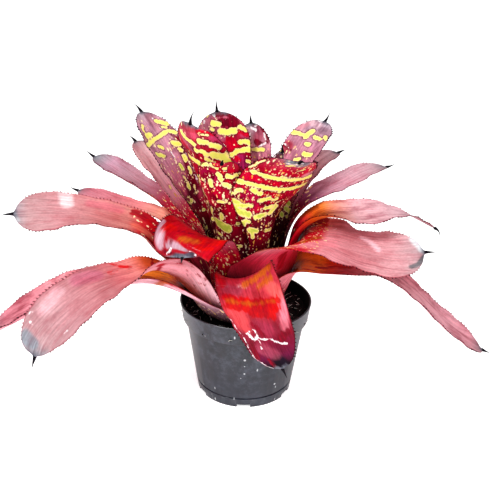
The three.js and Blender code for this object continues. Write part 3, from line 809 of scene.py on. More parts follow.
def addFlecks(tree, fields, colour):
    # small scales of pale tissue
    share = addNode(tree, "ShaderNodeMath",
                    {"operation": "MULTIPLY", 0: fields["fleck"], 1: skin["fleckShare"]})
    scale, reach = skin["fleckBend"]
    wobble = addNode(tree, "ShaderNodeTexNoise", {"Scale": scale, "Detail": 2, "Vector": fields["plan"]})
    bent = addNode(tree, "ShaderNodeVectorMath",
                   {"operation": "SCALE", "Scale": reach, 0: wobble.outputs["Color"]})
    shaken = addNode(tree, "ShaderNodeVectorMath", {"operation": "ADD", 0: fields["plan"], 1: bent})
    for width, length, largest, shift in skin["flecks"]:
        spread = addNode(tree, "ShaderNodeMapping", {
            "Scale": (1 / width, 1 / length, 1), "Location": (shift, 0, 0), "Vector": shaken})
        cells = addNode(tree, "ShaderNodeTexVoronoi", {"Scale": skin["fleckScale"], "Vector": spread})
        chance = addNode(tree, "ShaderNodeSeparateColor", {0: cells.outputs["Color"]})
        isFleck = addNode(tree, "ShaderNodeMath", {"operation": "LESS_THAN", 0: chance, 1: share})
        radius = addNode(tree, "ShaderNodeMapRange",
                         {0: chance.outputs[1], 3: skin["fleckSmallest"], 4: largest})
        within = addNode(tree, "ShaderNodeMath", {"operation": "SUBTRACT", 0: radius, 1: cells})
        low, high = skin["spans"]["fleckEdge"]
        body = addNode(tree, "ShaderNodeMapRange", {0: within, 1: low, 2: high})
        amount = addNode(tree, "ShaderNodeMath", {"operation": "MULTIPLY", 0: isFleck, 1: body})
        tone = layOver(tree, skin["cream"], skin["gold"], chance.outputs[2], *skin["spans"]["golden"])
        colour = addNode(tree, "ShaderNodeMix", {"data_type": "RGBA", 0: amount, 6: colour, 7: tone})
    return colour


def addBlotches(tree, fields, ragged, streaks, colour, deep):
    # patches without red pigment, ragged and peach at their edges, limy in the middle
    drawn = addNode(tree, "ShaderNodeMath", {"operation": "MULTIPLY", 0: streaks, 1: skin["blotchStreaks"]})
    moved = addNode(tree, "ShaderNodeMath", {"operation": "ADD", 0: ragged, 1: drawn})
    edge = addNode(tree, "ShaderNodeMath", {"operation": "ADD", 0: fields["lemon"], 1: moved})
    spans, heart = skin["spans"], 1.0
    for field, (low, high, least) in zip((edge, fields["limy"], fields["tipGap"]), skin["limySpans"]):
        part = addNode(tree, "ShaderNodeMapRange", {0: field, 1: low, 2: high, 3: least})
        heart = addNode(tree, "ShaderNodeMath", {"operation": "MULTIPLY", 0: heart, 1: part})
    body = layOver(tree, skin["peach"], skin["lemon"], edge, *spans["yellow"])
    body = addNode(tree, "ShaderNodeMix", {"data_type": "RGBA", 0: heart, 6: body, 7: skin["lime"]})
    body = layOver(tree, body, skin["gold"], fields["specks"], *spans["specked"])
    outlined = layOver(tree, colour, deep, edge, *spans["outline"], blend="MULTIPLY")
    return layOver(tree, outlined, body, edge, *spans["blotch"])


def leafMaterial(name, slotName):
    material, tree = newMaterial(name)
    tones = {**skin, **skin["kinds"][slotName]}
    deep, spans = tones["deep"], skin["spans"]
    fields, wander = leafFields(tree)

    # ground colour, deeper in clouds and streaks, and grey with down on some undersides
    colour = layOver(tree, fields["tint"], deep, fields["clouds"], *spans["mottle"],
                     most=tones["mottle"], blend="MULTIPLY")
    colour = layOver(tree, colour, deep, fields["streaks"], *spans["streaked"], "MULTIPLY")
    colour = layOver(tree, colour, skin["scurf"], fields["underside"], 0, 1, 0, tones["down"])

    ragged = addNode(tree, "ShaderNodeMath", {"operation": "ADD", 0: wander["coarse"], 1: wander["fine"]})
    streaky = addNode(tree, "ShaderNodeMath", {"operation": "ADD", 0: ragged, 1: wander["streaks"]})
    # patches of colour; the palest kind is a painted highlight
    for kind, (softness, isStreaky, field, start, full) in skin["patches"].items():
        edge = addNode(tree, "ShaderNodeMath",
                       {"operation": "ADD", 0: fields[kind], 1: streaky if isStreaky else ragged})
        fill = layOver(tree, *tones[kind], fields[field], start, full)
        colour = layOver(tree, colour, fill, edge, -softness, softness, most=skin["patchShare"])

    # lighter on the veins and in the grain
    light = 1.0
    for field, (low, high, least, most) in skin["light"].items():
        part = addNode(tree, "ShaderNodeMapRange", {0: fields[field], 1: low, 2: high, 3: least, 4: most})
        light = addNode(tree, "ShaderNodeMath", {"operation": "MULTIPLY", 0: light, 1: part})
    colour = addNode(tree, "ShaderNodeHueSaturation", {"Color": colour, "Value": light})
    colour = addFlecks(tree, fields, colour)
    colour = addBlotches(tree, fields, ragged, wander["streaks"], colour, deep)

    # dried tip, a thin dark line round the margin, and the hooks
    tipGap = addNode(tree, "ShaderNodeMath", {"operation": "ADD", 0: fields["tipGap"], 1: wander["dried"]})
    dry = layOver(tree, skin["dry"], skin["ash"], fields["streaks"], *spans["ashen"])
    colour = layOver(tree, colour, dry, tipGap, *spans["dry"])
    colour = layOver(tree, colour, deep, fields["rim"], *spans["rim"], "MULTIPLY")
    colour = layOver(tree, colour, skin["hook"], fields["spine"], *spans["hook"])

    low, high, least, most = spans["rough"]
    rough = addNode(tree, "ShaderNodeMapRange", {0: fields["veins"], 1: low, 2: high, 3: least, 4: most})
    relief = 0.0
    for field, depth in skin["relief"].items():
        relief = addNode(tree, "ShaderNodeMath",
                         {"operation": "MULTIPLY_ADD", 0: fields[field], 1: depth, 2: relief})
    bump = addNode(tree, "ShaderNodeBump", {"Strength": 1, "Distance": mm, "Height": relief})
    shader = addNode(tree, "ShaderNodeBsdfPrincipled", {
        "Base Color": colour, "Roughness": rough, "IOR": skin["ior"], "Specular IOR Level": tones["sheen"],
        "Coat Weight": tones["coat"], "Coat Roughness": skin["coatRoughness"],
        "Normal": bump, "Coat Normal": bump})
    addNode(tree, "ShaderNodeOutputMaterial", {"Surface": shader})
    return material


# Every leaf, innermost first. Millimetres and degrees.
# ring: place in the nest. azimuth: at base and tip, 0 at +X and -90 to the front. sweep: how late it turns.
# spine: length and turn of the end spine. path: [reach, height] of the midrib.
# half: half widths near sheath, waist, belly and shoulder. roll: turn about the midrib.
# channel: half angle of the curve across the blade, below 0 where it arches the other way.
# clasp: arc lengths where the sheath ends and the free blade starts.
# above, below: colours of the two faces from base to tip; their near-black base in the sheaths is partly the
# leaves' own deep crimson and partly painted shade deep in the crown. freshTip: how far the tip is from
# drying.
# flecks, flecksBelow: share, and where they thin out along the leaf.
# What is painted has its places in the camera's frame, x and y in turn, and is laid on the leaf behind them.
# washes: colour, strength and radius, then places. patches: kind, then strokes of places and a width; the
# white kind is painted highlight: glints and pale streaks.
# blotches: strokes as well. scatter: random blotches, clear of the others.
leaves = {
    "leaf_heart_front": {
        "slot": "leaf_spotted", "ring": 0, "azimuth": [300, 300], "spine": [5, 10],
        "path": [[17, 165], [15, 200], [12, 222]],
        "half": [15, 15, 15, 15], "roll": [0, 0], "channel": [60, 60],
        "above": [(0, "#30020f"), (0.6, "#a00a30"), (0.9, "#b03a54"), (1, "#8a6a74")],
        "flecks": (0.5, 0.5, 1),
    },
    "leaf_heart_back": {
        "slot": "leaf_spotted", "ring": 0, "azimuth": [160, 160], "spine": [5, 10],
        "path": [[19, 165], [20, 200], [20, 228]],
        "half": [17, 17, 17, 17], "roll": [0, 0], "channel": [60, 55],
        "above": [(0, "#30020f"), (0.6, "#a00a30"), (0.9, "#b03a54"), (1, "#8a6a74")],
        "flecks": (0.5, 0.5, 1),
    },
    "leaf_cup_right": {
        "slot": "leaf_spotted", "ring": 1, "azimuth": [20, 20], "spine": [7, 30],
        "path": [[25, 170], [31, 215], [33, 244]],
        "half": [19, 19, 19, 19], "roll": [0, 0], "channel": [60, 55, 50, 40],
        "above": [
            (0, "#28010c"), (0.42, "#4a0418"), (0.6, "#8a1434"), (0.85, "#8a2844"), (1, "#6a5058"),
        ],
        "flecks": (0.6, 0.8, 1.2),
        "patches": [
            ("chalk", (268, 158, 272, 152, 3.5), (276, 150, 279, 146, 2.5)),
            ("wine", (281, 152, 290, 146, 8)),
        ],
        "blotches": [(259, 165, 267, 159, 3)],
        "scatter": {"count": 16, "along": (0.45, 0.92), "size": (3, 6), "clear": 3},
    },
    "leaf_cup_back_right": {
        "slot": "leaf_spotted", "ring": 3, "azimuth": [82, 89], "spine": [7, 20],
        "path": [[32, 171], [48, 220], [57, 261]],
        "half": [23, 23, 22, 23], "roll": [0, -12, -18, -15], "channel": [60, 45, 35, 25],
        "above": [
            (0, "#28010c"), (0.42, "#4a0418"), (0.6, "#b83450"), (0.72, "#d06c84"), (0.85, "#dc98a8"),
            (0.95, "#c49ca8"), (1, "#85808a"),
        ],
        "flecks": (0.35, 0.6, 1),
        "washes": [("#c24a68", 0.7, 7, 258, 138, 262, 128)],
        "patches": [
            ("wine", (262, 124, 264, 131, 3.5), (256, 142, 262, 144, 5), (268, 134, 268, 143, 3),
             (258, 123, 262, 122, 2.5), (251, 120, 253, 124, 2)),
            ("chalk", (252, 128, 256, 130, 3), (255, 126, 257, 124, 2), (264, 133, 266, 139, 2),
             (250, 134, 250, 138, 2), (259, 147, 266, 143, 2)),
        ],
        "blotches": [(253, 149.5, 264, 149.5, 4.2)],
        "scatter": {"count": 8, "along": (0.4, 0.7), "size": (3, 6), "clear": 3},
    },
    "leaf_cup_back": {
        "slot": "leaf_spotted", "ring": 2, "azimuth": [125, 124], "spine": [9, 30],
        "path": [[28, 171], [42, 224], [57, 273]],
        "half": [25, 25, 27, 31], "roll": [0, 0, -5, -15], "channel": [60, 45, 45, 20],
        "above": [
            (0, "#28010c"), (0.42, "#5c0418"), (0.55, "#9e042a"), (0.78, "#b80432"), (0.93, "#c84060"),
            (0.97, "#c08494"), (1, "#8c8890"),
        ],
        "flecks": (0.4, 0.75, 1.1),
        "washes": [
            # the first wash is a painted highlight, pink-white
            ("#cc8494", 0.9, 10, 199, 118, 206, 128), ("#c06884", 0.8, 5, 217, 130, 222, 138),
            ("#cc6c80", 0.7, 4, 238, 112, 242, 122), ("#a8306c", 0.7, 9, 240, 160, 246, 168),
            ("#b85478", 0.8, 4, 243, 134, 247, 138),
        ],
        "patches": [
            ("wine", (214, 114, 228, 114, 6), (222, 122, 236, 124, 9), (232, 118, 236, 122, 6)),
            ("scarlet", (229, 140, 234, 146, 8), (238, 131, 246, 134, 5), (232, 154, 238, 160, 5)),
            ("chalk", (211, 110, 214, 116, 2.5), (206, 112, 209, 115, 2.5), (204, 121, 204, 123, 2),
             (223, 144, 225, 150, 1.5)),
        ],
        "blotches": [
            (213, 123.5, 219, 124, 6), (220, 131, 226, 132, 234, 131, 6.4), (211, 129, 213, 129.5, 3.6),
            (240, 126.5, 244.5, 129.5, 4.6), (240, 142, 245, 141, 250, 143, 4.6),
            (231, 155, 237, 151.5, 246, 149, 251, 150.5, 4.6), (247.5, 161, 250.5, 162, 4),
            (203, 109.5, 207, 111, 2.6),
        ],
        "scatter": {"count": 10, "along": (0.4, 0.6), "size": (3, 6), "clear": 4},
    },
    "leaf_cup_left": {
        "slot": "leaf_spotted", "ring": 4, "azimuth": [211, 217], "spine": [9, 50],
        "path": [[33.4, 173], [43, 223], [60, 270], [62, 278]],
        "half": [25, 25, 28, 28], "roll": [0, 5, 20, 25], "channel": [60, 50, 55, 25],
        "above": [
            (0, "#28010c"), (0.42, "#50041a"), (0.55, "#9e062e"), (0.8, "#b40830"), (0.92, "#cc3c54"),
            (1, "#985a60"),
        ],
        "flecks": (0.45, 0.6, 1.1),
        "washes": [
            ("#b8687e", 0.8, 5, 183, 136, 192, 148), ("#b03a68", 0.7, 6, 214, 138, 222, 144),
            ("#d8607a", 0.6, 4, 181, 130, 196, 136),
        ],
        "patches": [
            ("scarlet", (200, 131, 212, 132, 5), (212, 162, 226, 168, 9), (226, 166, 240, 170, 7),
             (204, 150, 212, 150, 2.5)),
            ("wine", (190, 146, 195, 150, 3), (200, 164, 206, 170, 5), (215, 142, 222, 146, 3)),
            ("chalk", (183, 148, 187, 152, 1.4), (186, 160, 189, 166, 1.4), (197, 176, 200, 182, 1.2)),
        ],
        "blotches": [
            (181.5, 131, 186, 138, 192, 142, 195, 144, 4.6), (199, 141, 206, 142.5, 5.6),
            (211, 144, 219, 147.5, 5.4), (202, 134.6, 208, 135, 3), (196, 150, 205, 152, 4),
            (206, 153, 214, 156, 4.6), (214, 155, 222, 157, 229, 161, 7.6),
            (190, 156, 197, 161, 201, 165, 5.5), (226, 153, 229, 156, 4), (206, 158, 212, 162, 4),
            (189, 151, 193, 156, 196, 161, 2.2),
        ],
        "scatter": {"count": 18, "along": (0.4, 0.9), "size": (2, 5), "clear": 4},
    },
    "leaf_cup_front_left": {
        "slot": "leaf_spotted", "ring": 5, "azimuth": [244, 250], "spine": [6, -30],
        "path": [[40, 179], [53, 214], [59, 241], [64, 250]],
        "half": [25, 25, 24, 28], "roll": [0, 0, 5, 30], "channel": [60, 55, 60, 50],
        "freshTip": 9,
        "above": [
            (0, "#20000a"), (0.36, "#4b021b"), (0.5, "#8f042b"), (0.65, "#ba0631"), (0.9, "#af0834"),
            (1, "#c83048"),
        ],
        "flecks": (0.9, 0.8, 1.3),
        "washes": [("#3c0420", 0.7, 9, 203, 205, 218, 212), ("#a0104c", 0.7, 8, 206, 174, 214, 178)],
        "patches": [
            ("wine", (203, 178, 212, 176, 7), (215, 196, 222, 206, 5), (205, 196, 208, 208, 4)),
            ("scarlet", (218, 168, 232, 172, 6), (222, 180, 230, 180, 4)),
        ],
        "blotches": [
            (211, 181, 212, 186, 4.8), (199, 192, 199, 198, 4.6), (196, 179, 198, 184, 3.8),
            (189, 197, 192, 202, 196, 207, 4), (218, 222, 222, 225, 227, 228, 11),
            (212, 208, 213, 217, 4.2), (187, 182, 188, 187, 3.4), (225, 184, 230, 187, 3.8),
            (202, 229, 207, 231, 3), (211, 231.5, 217, 232.5, 3), (218, 174, 221, 179, 4.5),
            (228, 176, 232, 177, 4.2), (236, 175, 240, 174.5, 4), (222, 214, 222, 219, 4),
            (203, 206, 204, 208, 3), (227, 200, 230, 203, 3),
        ],
        "scatter": {"count": 26, "along": (0.35, 0.95), "size": (2, 4), "clear": 3.4},
    },
    "leaf_cup_front_right": {
        "slot": "leaf_spotted", "ring": 6, "azimuth": [300, 300], "spine": [8, -40],
        "path": [[38, 169], [46, 210], [64, 242], [83, 255]],
        "half": [29, 29, 41, 34], "roll": [5, 50, 0, -15], "channel": [60, 90, 35, 25],
        "above": [
            (0, "#20000a"), (0.32, "#550218"), (0.48, "#93042b"), (0.62, "#bd0734"), (0.86, "#c40d38"),
            (0.93, "#c84860"), (1, "#85808a"),
        ],
        "flecks": (0.9, 0.95, 1.4),
        "washes": [
            ("#4c0220", 0.7, 12, 262, 222, 285, 214), ("#a01048", 0.6, 10, 246, 196, 252, 200),
            ("#d88c9c", 0.85, 6, 304, 176, 316, 172), ("#8f9098", 0.9, 6, 290, 163, 305, 165),
        ],
        "patches": [
            ("scarlet", (262, 184, 276, 186, 6), (266, 194, 280, 197, 7), (250, 176, 258, 178, 4),
             (284, 170, 292, 172, 3)),
            ("wine", (262, 204, 272, 208, 6), (234, 196, 238, 198, 6), (290, 186, 300, 184, 3),
             (244, 219, 252, 222, 5)),
            ("chalk", (288, 163, 296, 164.5, 2.4), (300, 163, 304, 162.5, 1.6)),
        ],
        "blotches": [
            (251, 170.5, 264, 175, 278, 178.5, 298, 179, 313, 175.5, 4),
            (238, 181, 254, 184, 264, 187, 282, 189, 298, 186.5, 307, 182, 4.4),
            (250, 167, 257, 163, 264, 160, 2.6), (238, 190, 242, 190, 3.4), (252, 190, 260, 193.5, 5),
            (259, 201, 269, 198, 4.2), (231, 200, 238, 203, 5), (236, 206, 246, 205, 252, 206, 4),
            (234, 209, 241, 212, 248, 215, 6.6), (256, 217, 264, 214.5, 5.6),
            (269, 213, 273, 209, 276, 206, 4.6), (240, 223, 244, 224, 4), (246, 221, 249, 222, 3.4),
            (250, 230, 256, 231, 5.5), (252, 232, 252.5, 237, 4), (282, 176, 306, 177, 1.6),
            (276, 191, 282, 192, 2), (272, 200, 277, 198, 2.6),
        ],
        "scatter": {"count": 30, "along": (0.35, 0.95), "size": (2, 4), "clear": 3.4},
    },
    "leaf_upright_right": {
        "slot": "leaf_spotted", "ring": 7, "azimuth": [42, 45], "spine": [9, 30],
        "path": [[41, 169], [58, 213], [77, 237], [109, 259]],
        "half": [24, 24, 24, 24], "roll": [0, 0, 0, 15], "channel": [60, 45, 25, 30],
        "above": [
            (0, "#28010c"), (0.38, "#500416"), (0.48, "#95173a"), (0.6, "#ba687e"), (0.85, "#c38e9f"),
            (0.95, "#bea5b1"), (1, "#8e8a92"),
        ],
        "flecks": (0.6, 0.45, 0.9),
        "washes": [
            ("#a01030", 0.8, 8, 276, 148, 288, 146), ("#d08c98", 0.8, 7, 300, 124, 308, 120),
            ("#dcb4bc", 0.8, 6, 312, 119, 318, 126), ("#94707e", 0.7, 6, 322, 130, 328, 134),
        ],
        "patches": [
            ("wine", (285, 146, 291, 150, 3), (287, 152, 286, 156, 2), (279, 144, 283, 142, 2.5)),
            ("chalk", (284, 143, 286, 145, 1.5), (278, 147, 280, 150, 2.5),
             (303, 123, 306, 120, 1.6), (319, 121, 322, 122, 2), (288, 146, 289, 149, 1.2)),
        ],
        "blotches": [
            (293, 132, 300, 134, 306, 136, 4.4), (306, 137, 309, 134, 313, 131.5, 6),
            (315, 137.5, 320, 140, 5), (325, 137, 326, 140, 4.4), (306, 144, 310, 145, 5),
            (304, 154, 311, 155, 5.4), (277, 153, 281, 153.5, 6.4), (295, 160, 300, 159, 4),
        ],
        "scatter": {"count": 8, "along": (0.4, 0.6), "size": (3, 6), "clear": 4},
    },
    "leaf_upright_left": {
        "slot": "leaf_spotted", "ring": 8, "azimuth": [160, 154], "spine": [9, -20],
        "path": [[41, 169], [62, 201], [92, 242], [118, 270]],
        "half": [25, 26, 25, 26], "roll": [0, -10, -10, -5], "channel": [60, 45, 30, 20],
        "above": [
            (0, "#28010c"), (0.34, "#5c0418"), (0.44, "#a00a2c"), (0.56, "#bc5470"), (0.72, "#cc8a9c"),
            (0.92, "#d09cac"), (0.98, "#b0a0a8"), (1, "#8e8a92"),
        ],
        "flecks": (0.6, 0.6, 1),
        "washes": [
            ("#7c0c30", 0.9, 9, 181, 140, 188, 160, 195, 184), ("#6c0828", 0.8, 9, 188, 184, 196, 204),
            ("#d07c8a", 0.5, 8, 166, 176, 182, 196), ("#cc8c98", 0.7, 8, 150, 118, 158, 126),
        ],
        "patches": [
            ("wine", (177, 139, 184, 156, 2.4), (190, 172, 196, 190, 5), (170, 134, 177, 139, 1.8),
             (184, 160, 190, 176, 3)),
            ("chalk", (152, 118, 156, 122, 1.4), (171, 152, 174, 157, 1.2),
             (160, 128, 163, 131, 1.2), (184, 150, 192, 170, 0.9), (193, 168, 198, 184, 0.9)),
        ],
        "blotches": [
            (156, 121.5, 167, 124, 4.6), (162, 127, 166, 128, 3), (142.5, 126, 143, 131, 4),
            (146, 136.5, 150, 135, 6), (147, 146, 153, 140.5, 161, 135, 168, 131, 176, 132.5, 4.6),
            (159, 147, 162, 148, 4.6), (157, 155, 164, 156, 4.8), (173, 143, 178, 144, 6),
            (179.5, 149, 182, 151, 4.6), (184, 156, 185.5, 160, 5), (180, 165, 182, 169, 5),
            (189, 168, 190.5, 173, 4), (169, 186, 170, 188, 4), (187, 183, 189, 188, 4),
            (183, 176, 186, 182, 2.4), (194, 186, 196, 193, 2.6),
        ],
        "scatter": {"count": 12, "along": (0.3, 0.55), "size": (2, 4), "clear": 4},
    },
    "leaf_plain_left": {
        "slot": "leaf_pink", "ring": 9, "azimuth": [155, 154], "spine": [6, -20],
        "path": [[40, 151], [65, 173], [86, 197], [109, 223], [127, 240]],
        "half": [26, 23, 23, 24], "roll": [0, 0, 0, -5], "channel": [60, 45, 40, 20],
        "above": [
            (0, "#28010c"), (0.36, "#b00830"), (0.49, "#d0103c"), (0.54, "#dc5872"), (0.62, "#f0a8ba"),
            (0.8, "#ecb9c1"), (0.93, "#e3b9c1"), (1, "#a08c94"),
        ],
        "flecks": (0.75, 0.4, 0.8),
        "washes": [("#e09ca6", 0.8, 8, 172, 176, 182, 190)],
        "blotches": [(169, 186, 170.5, 188.5, 3.2)],
    },
    "leaf_plain_right": {
        "slot": "leaf_pink", "ring": 10, "azimuth": [43, 39], "spine": [8, -10],
        "path": [[43, 165], [78, 203], [97, 219], [120, 227]],
        "half": [28, 22, 22, 22], "roll": [0, 0, -10, 0], "channel": [60, 40, 45, 25],
        "above": [
            (0, "#28010c"), (0.4, "#901840"), (0.58, "#d07c90"), (0.8, "#e0a4b0"), (0.95, "#d0a8b0"),
            (1, "#8e8a92"),
        ],
        "flecks": (0.4, 0.3, 0.6),
    },
    "leaf_narrow_left": {
        "slot": "leaf_pink", "ring": 11, "azimuth": [150, 151], "spine": [9, 15],
        "path": [[41, 135], [79, 164], [102, 179], [136, 192], [163, 202], [189, 213]],
        "half": [29, 21, 19, 22], "roll": [0, 5, 10, -10], "channel": [60, 50, 35, 40],
        "above": [
            (0, "#28010c"), (0.36, "#b80834"), (0.49, "#cc0c3c"), (0.54, "#c03c58"), (0.61, "#b07080"),
            (0.75, "#b88c96"), (0.9, "#b890a0"), (0.97, "#8c8a90"), (1, "#5c5c62"),
        ],
        "flecks": (0.9, 0.45, 0.68),
    },
    "leaf_pale_right": {
        "slot": "leaf_pink", "ring": 11, "azimuth": [26, 26], "spine": [9, 10],
        "path": [[41, 154], [58, 182], [79, 194], [108, 203], [137, 212], [159, 214]],
        "half": [29, 22, 19, 20], "roll": [0, -20, 0, 0], "channel": [60, 55, 25, 30],
        "above": [
            (0, "#28010c"), (0.36, "#500420"), (0.46, "#8c0830"), (0.54, "#985070"), (0.62, "#c08c9c"),
            (0.75, "#d8a8b4"), (0.92, "#c09ca4"), (1, "#77777d"),
        ],
        "flecks": (0.7, 0.42, 0.7),
    },
    "leaf_back_left": {
        "slot": "leaf_pink", "ring": 12, "azimuth": [118, 118], "spine": [7, 10],
        "path": [[42, 131], [80, 158], [125, 169], [165, 167]],
        "half": [26, 23, 23, 23], "roll": [0, 0], "channel": [60, 45, 25, 10],
        "above": [
            (0, "#28010c"), (0.35, "#b41c34"), (0.6, "#cc6c78"), (0.9, "#c88890"), (1, "#77777d"),
        ],
        "flecks": (0.5, 0.3, 0.6),
    },
    "leaf_curled_front_left": {
        "slot": "leaf_red", "ring": 13, "azimuth": [240, 234], "spine": [7, -20],
        "path": [[43, 143], [57, 169], [75, 187], [95, 184], [93, 169]],
        "half": [33, 27, 27, 33], "roll": [0, 0, -5, -42], "channel": [60, 50, 20, 20],
        "above": [
            (0, "#28010c"), (0.3, "#8b0624"), (0.5, "#aa0a20"), (0.7, "#af0a1c"), (0.9, "#aa0c20"),
            (0.955, "#a0182c"), (0.982, "#a07888"), (1, "#3c444e"),
        ],
        "below": [
            (0, "#20000a"), (0.28, "#a80428"), (0.5, "#d00c34"), (0.62, "#cc506a"), (0.85, "#b8909c"),
            (0.95, "#6c7480"), (1, "#3e424c"),
        ],
        "flecks": (0.9, 0.42, 0.72),
        "washes": [
            # the first wash is a painted highlight along the lavender margin
            ("#ccacb8", 0.9, 3, 162, 222, 159.5, 234, 161, 245),
            ("#b89ca8", 0.85, 2.6, 168, 245, 177, 246, 186, 250),
            ("#505c6c", 0.9, 5, 176, 256, 186, 257, 192, 254),
        ],
        "patches": [
            ("orange", (180, 238, 188, 240.5, 196, 241.5, 5)),
            ("scarlet", (168, 226, 174, 229, 6), (200, 240, 212, 243, 222, 243, 9),
             (198, 248, 212, 249, 4)),
            ("wine", (178, 231, 192, 234, 2.4), (200, 236, 222, 238, 2.2), (165, 251, 173, 253, 4),
             (169, 238, 170, 242, 2.4)),
            # the white patches are painted highlights along the curl
            ("chalk", (166, 254, 169, 251, 171, 248, 1.1), (190, 251, 194, 252, 195, 255, 1.2)),
        ],
    },
    "leaf_back_right": {
        "slot": "leaf_pink", "ring": 13, "azimuth": [73, 73], "spine": [7, 10],
        "path": [[45, 132], [83, 158], [132, 168], [186, 159]],
        "half": [21, 20, 24, 24], "roll": [0, 0], "channel": [60, 45, 25, 10],
        "above": [
            (0, "#28010c"), (0.35, "#b41c34"), (0.6, "#cc6c78"), (0.9, "#c88890"), (1, "#77777d"),
        ],
        "flecks": (0.5, 0.3, 0.6),
    },
    "leaf_dry_tip_right": {
        "slot": "leaf_red", "ring": 14, "azimuth": [-8, 1], "spine": [8, -50],
        "path": [[44, 139], [51, 169], [71, 185], [103, 188], [131, 190], [150, 187], [181, 172]],
        "half": [32, 34, 29, 8], "roll": [0, -12, 5, -30], "channel": [60, 55, 10, 20],
        "clasp": [60, 110], "sweep": 0.6,
        "above": [
            (0, "#28010c"), (0.25, "#98082c"), (0.37, "#e0103c"), (0.41, "#ec4c38"), (0.45, "#ec7428"),
            (0.49, "#ec8440"), (0.54, "#ec9884"), (0.62, "#e4b0b5"), (0.8, "#dcb0b8"), (0.9, "#c88d97"),
            (1, "#9a6a70"),
        ],
        "flecks": (0.3, 0.2, 0.4),
        "patches": [("orange", (302, 215, 309, 211, 316, 208, 6))],
    },
    "leaf_salmon_left": {
        "slot": "leaf_pink", "ring": 14, "azimuth": [160, 163], "spine": [7, 10],
        "path": [[51, 131], [93, 168], [120, 173], [154, 179], [183, 187]],
        "half": [33, 23, 22, 22], "roll": [0, 5, 10, -5], "channel": [60, 40, 20, 10],
        "above": [
            (0, "#28010c"), (0.32, "#b82c48"), (0.42, "#e89c8c"), (0.54, "#f0b09c"), (0.66, "#e49090"),
            (0.8, "#d48890"), (0.93, "#c8828e"), (1, "#84727a"),
        ],
        "flecks": (0.4, 0.2, 0.4),
    },
    "leaf_broad_left": {
        "slot": "leaf_pink", "ring": 15, "azimuth": [185, 189], "spine": [9, -20],
        "path": [[46, 117], [85, 151], [99, 168], [123, 178], [153, 186], [183, 189], [214, 191]],
        "half": [31, 27, 25, 31], "roll": [0, -15, -10, -35], "channel": [58, 56, 32, 2],
        "above": [
            (0, "#28010c"), (0.35, "#88041a"), (0.43, "#a80c20"), (0.48, "#c83038"), (0.535, "#c9827b"),
            (0.62, "#c27d7c"), (0.8, "#bf898d"), (0.93, "#b48e90"), (0.98, "#9c9298"), (1, "#77777d"),
        ],
        "flecks": (0.3, 0.42, 0.53),
        "washes": [
            # the near-white wash is a painted highlight
            ("#e47c68", 0.75, 5, 134, 226, 144, 232, 152, 238), ("#f4eaec", 0.55, 8, 65, 193, 67, 204),
            ("#a0a4a8", 0.8, 4, 12, 212, 14, 222), ("#cc6c7a", 0.6, 6, 90, 204, 120, 210),
        ],
        "patches": [
            ("wine", (134, 213, 146, 218, 158, 226, 8), (152, 232, 160, 238, 4)),
            ("scarlet", (150, 222, 156, 230, 6)),
        ],
    },
    "leaf_broad_right": {
        "slot": "leaf_pink", "ring": 15, "azimuth": [-46, -13], "spine": [9, -5],
        "path": [[47, 141], [57, 170], [80, 172], [109, 166], [139, 163], [167, 165]],
        "half": [90, 66, 29, 32], "roll": [0, 0, 10, 35], "channel": [60, 62, 20, -5, 0],
        "clasp": [78, 128], "sweep": 0.35,
        "above": [
            (0, "#20000a"), (0.34, "#5c0418"), (0.42, "#bc0a26"), (0.48, "#c80a28"), (0.515, "#cc3448"),
            (0.55, "#e098a0"), (0.65, "#c9858b"), (0.85, "#d09ba0"), (0.95, "#c1a0a4"), (1, "#5e6066"),
        ],
        "below": [
            (0, "#1c0008"), (0.22, "#50021a"), (0.28, "#a8042c"), (0.35, "#d00c38"), (0.39, "#e03858"),
            (0.42, "#f07c8c"), (0.56, "#dc949e"), (0.8, "#d8a0aa"), (0.97, "#8c9096"), (1, "#5e6066"),
        ],
        "flecks": (0.95, 0.5, 0.57),
        "flecksBelow": (0, 0.3, 0.4),
        "washes": [
            # the first wash is a painted highlight, pink-orange
            ("#e88878", 0.7, 6, 262, 247, 274, 248), ("#e08c96", 0.9, 8, 306, 246, 318, 244, 332, 244),
            ("#e07884", 0.8, 4, 292, 247, 306, 248), ("#d8dade", 0.9, 6, 417, 236, 424, 248),
            ("#5c6064", 0.85, 3, 411, 267, 418, 265, 424, 258),
            # painted highlight: pale streaks
            ("#f0ccd4", 0.8, 4, 362, 238, 370, 242, 378, 250),
        ],
        "patches": [
            ("wine", (283, 255, 280, 266, 9), (302, 234, 312, 227, 326, 220, 8)),
            # the white patch is a painted highlight, a pale streak
            ("scarlet", (302, 238, 313, 231, 325, 225, 9)), ("chalk", (333, 230.5, 338, 228.5, 1)),
            ("orange", (300, 243, 310, 240, 320, 238, 5), (262, 247, 268, 247, 3)),
        ],
    },
    "leaf_back": {
        "slot": "leaf_pink", "ring": 17, "azimuth": [95, 95], "spine": [7, 10],
        "path": [[46, 118], [83, 138], [132, 149], [191, 139]],
        "half": [34, 25, 25, 25], "roll": [0, 0], "channel": [60, 45, 25, 10],
        "above": [
            (0, "#28010c"), (0.35, "#b41c34"), (0.6, "#cc6c78"), (0.9, "#c88890"), (1, "#77777d"),
        ],
        "flecks": (0.5, 0.3, 0.6),
    },
    "leaf_drooping_right": {
        "slot": "leaf_red", "ring": 16, "azimuth": [-16, -12], "spine": [7, 5],
        "path": [
            [55, 138], [79, 139], [105, 141], [130, 142], [157, 126], [186, 100], [218, 77], [231, 70],
        ],
        "half": [44, 32, 24, 24], "roll": [0, 0, -5, 5], "channel": [60, 30, 20, 30],
        "above": [
            (0, "#28010c"), (0.14, "#980c20"), (0.175, "#e85028"), (0.2, "#ffa02c"), (0.28, "#ff9424"),
            (0.32, "#f04818"), (0.37, "#d03044"), (0.44, "#dc707c"), (0.6, "#e0909a"), (0.8, "#e0a0aa"),
            (0.93, "#d4949e"), (1, "#5e5c62"),
        ],
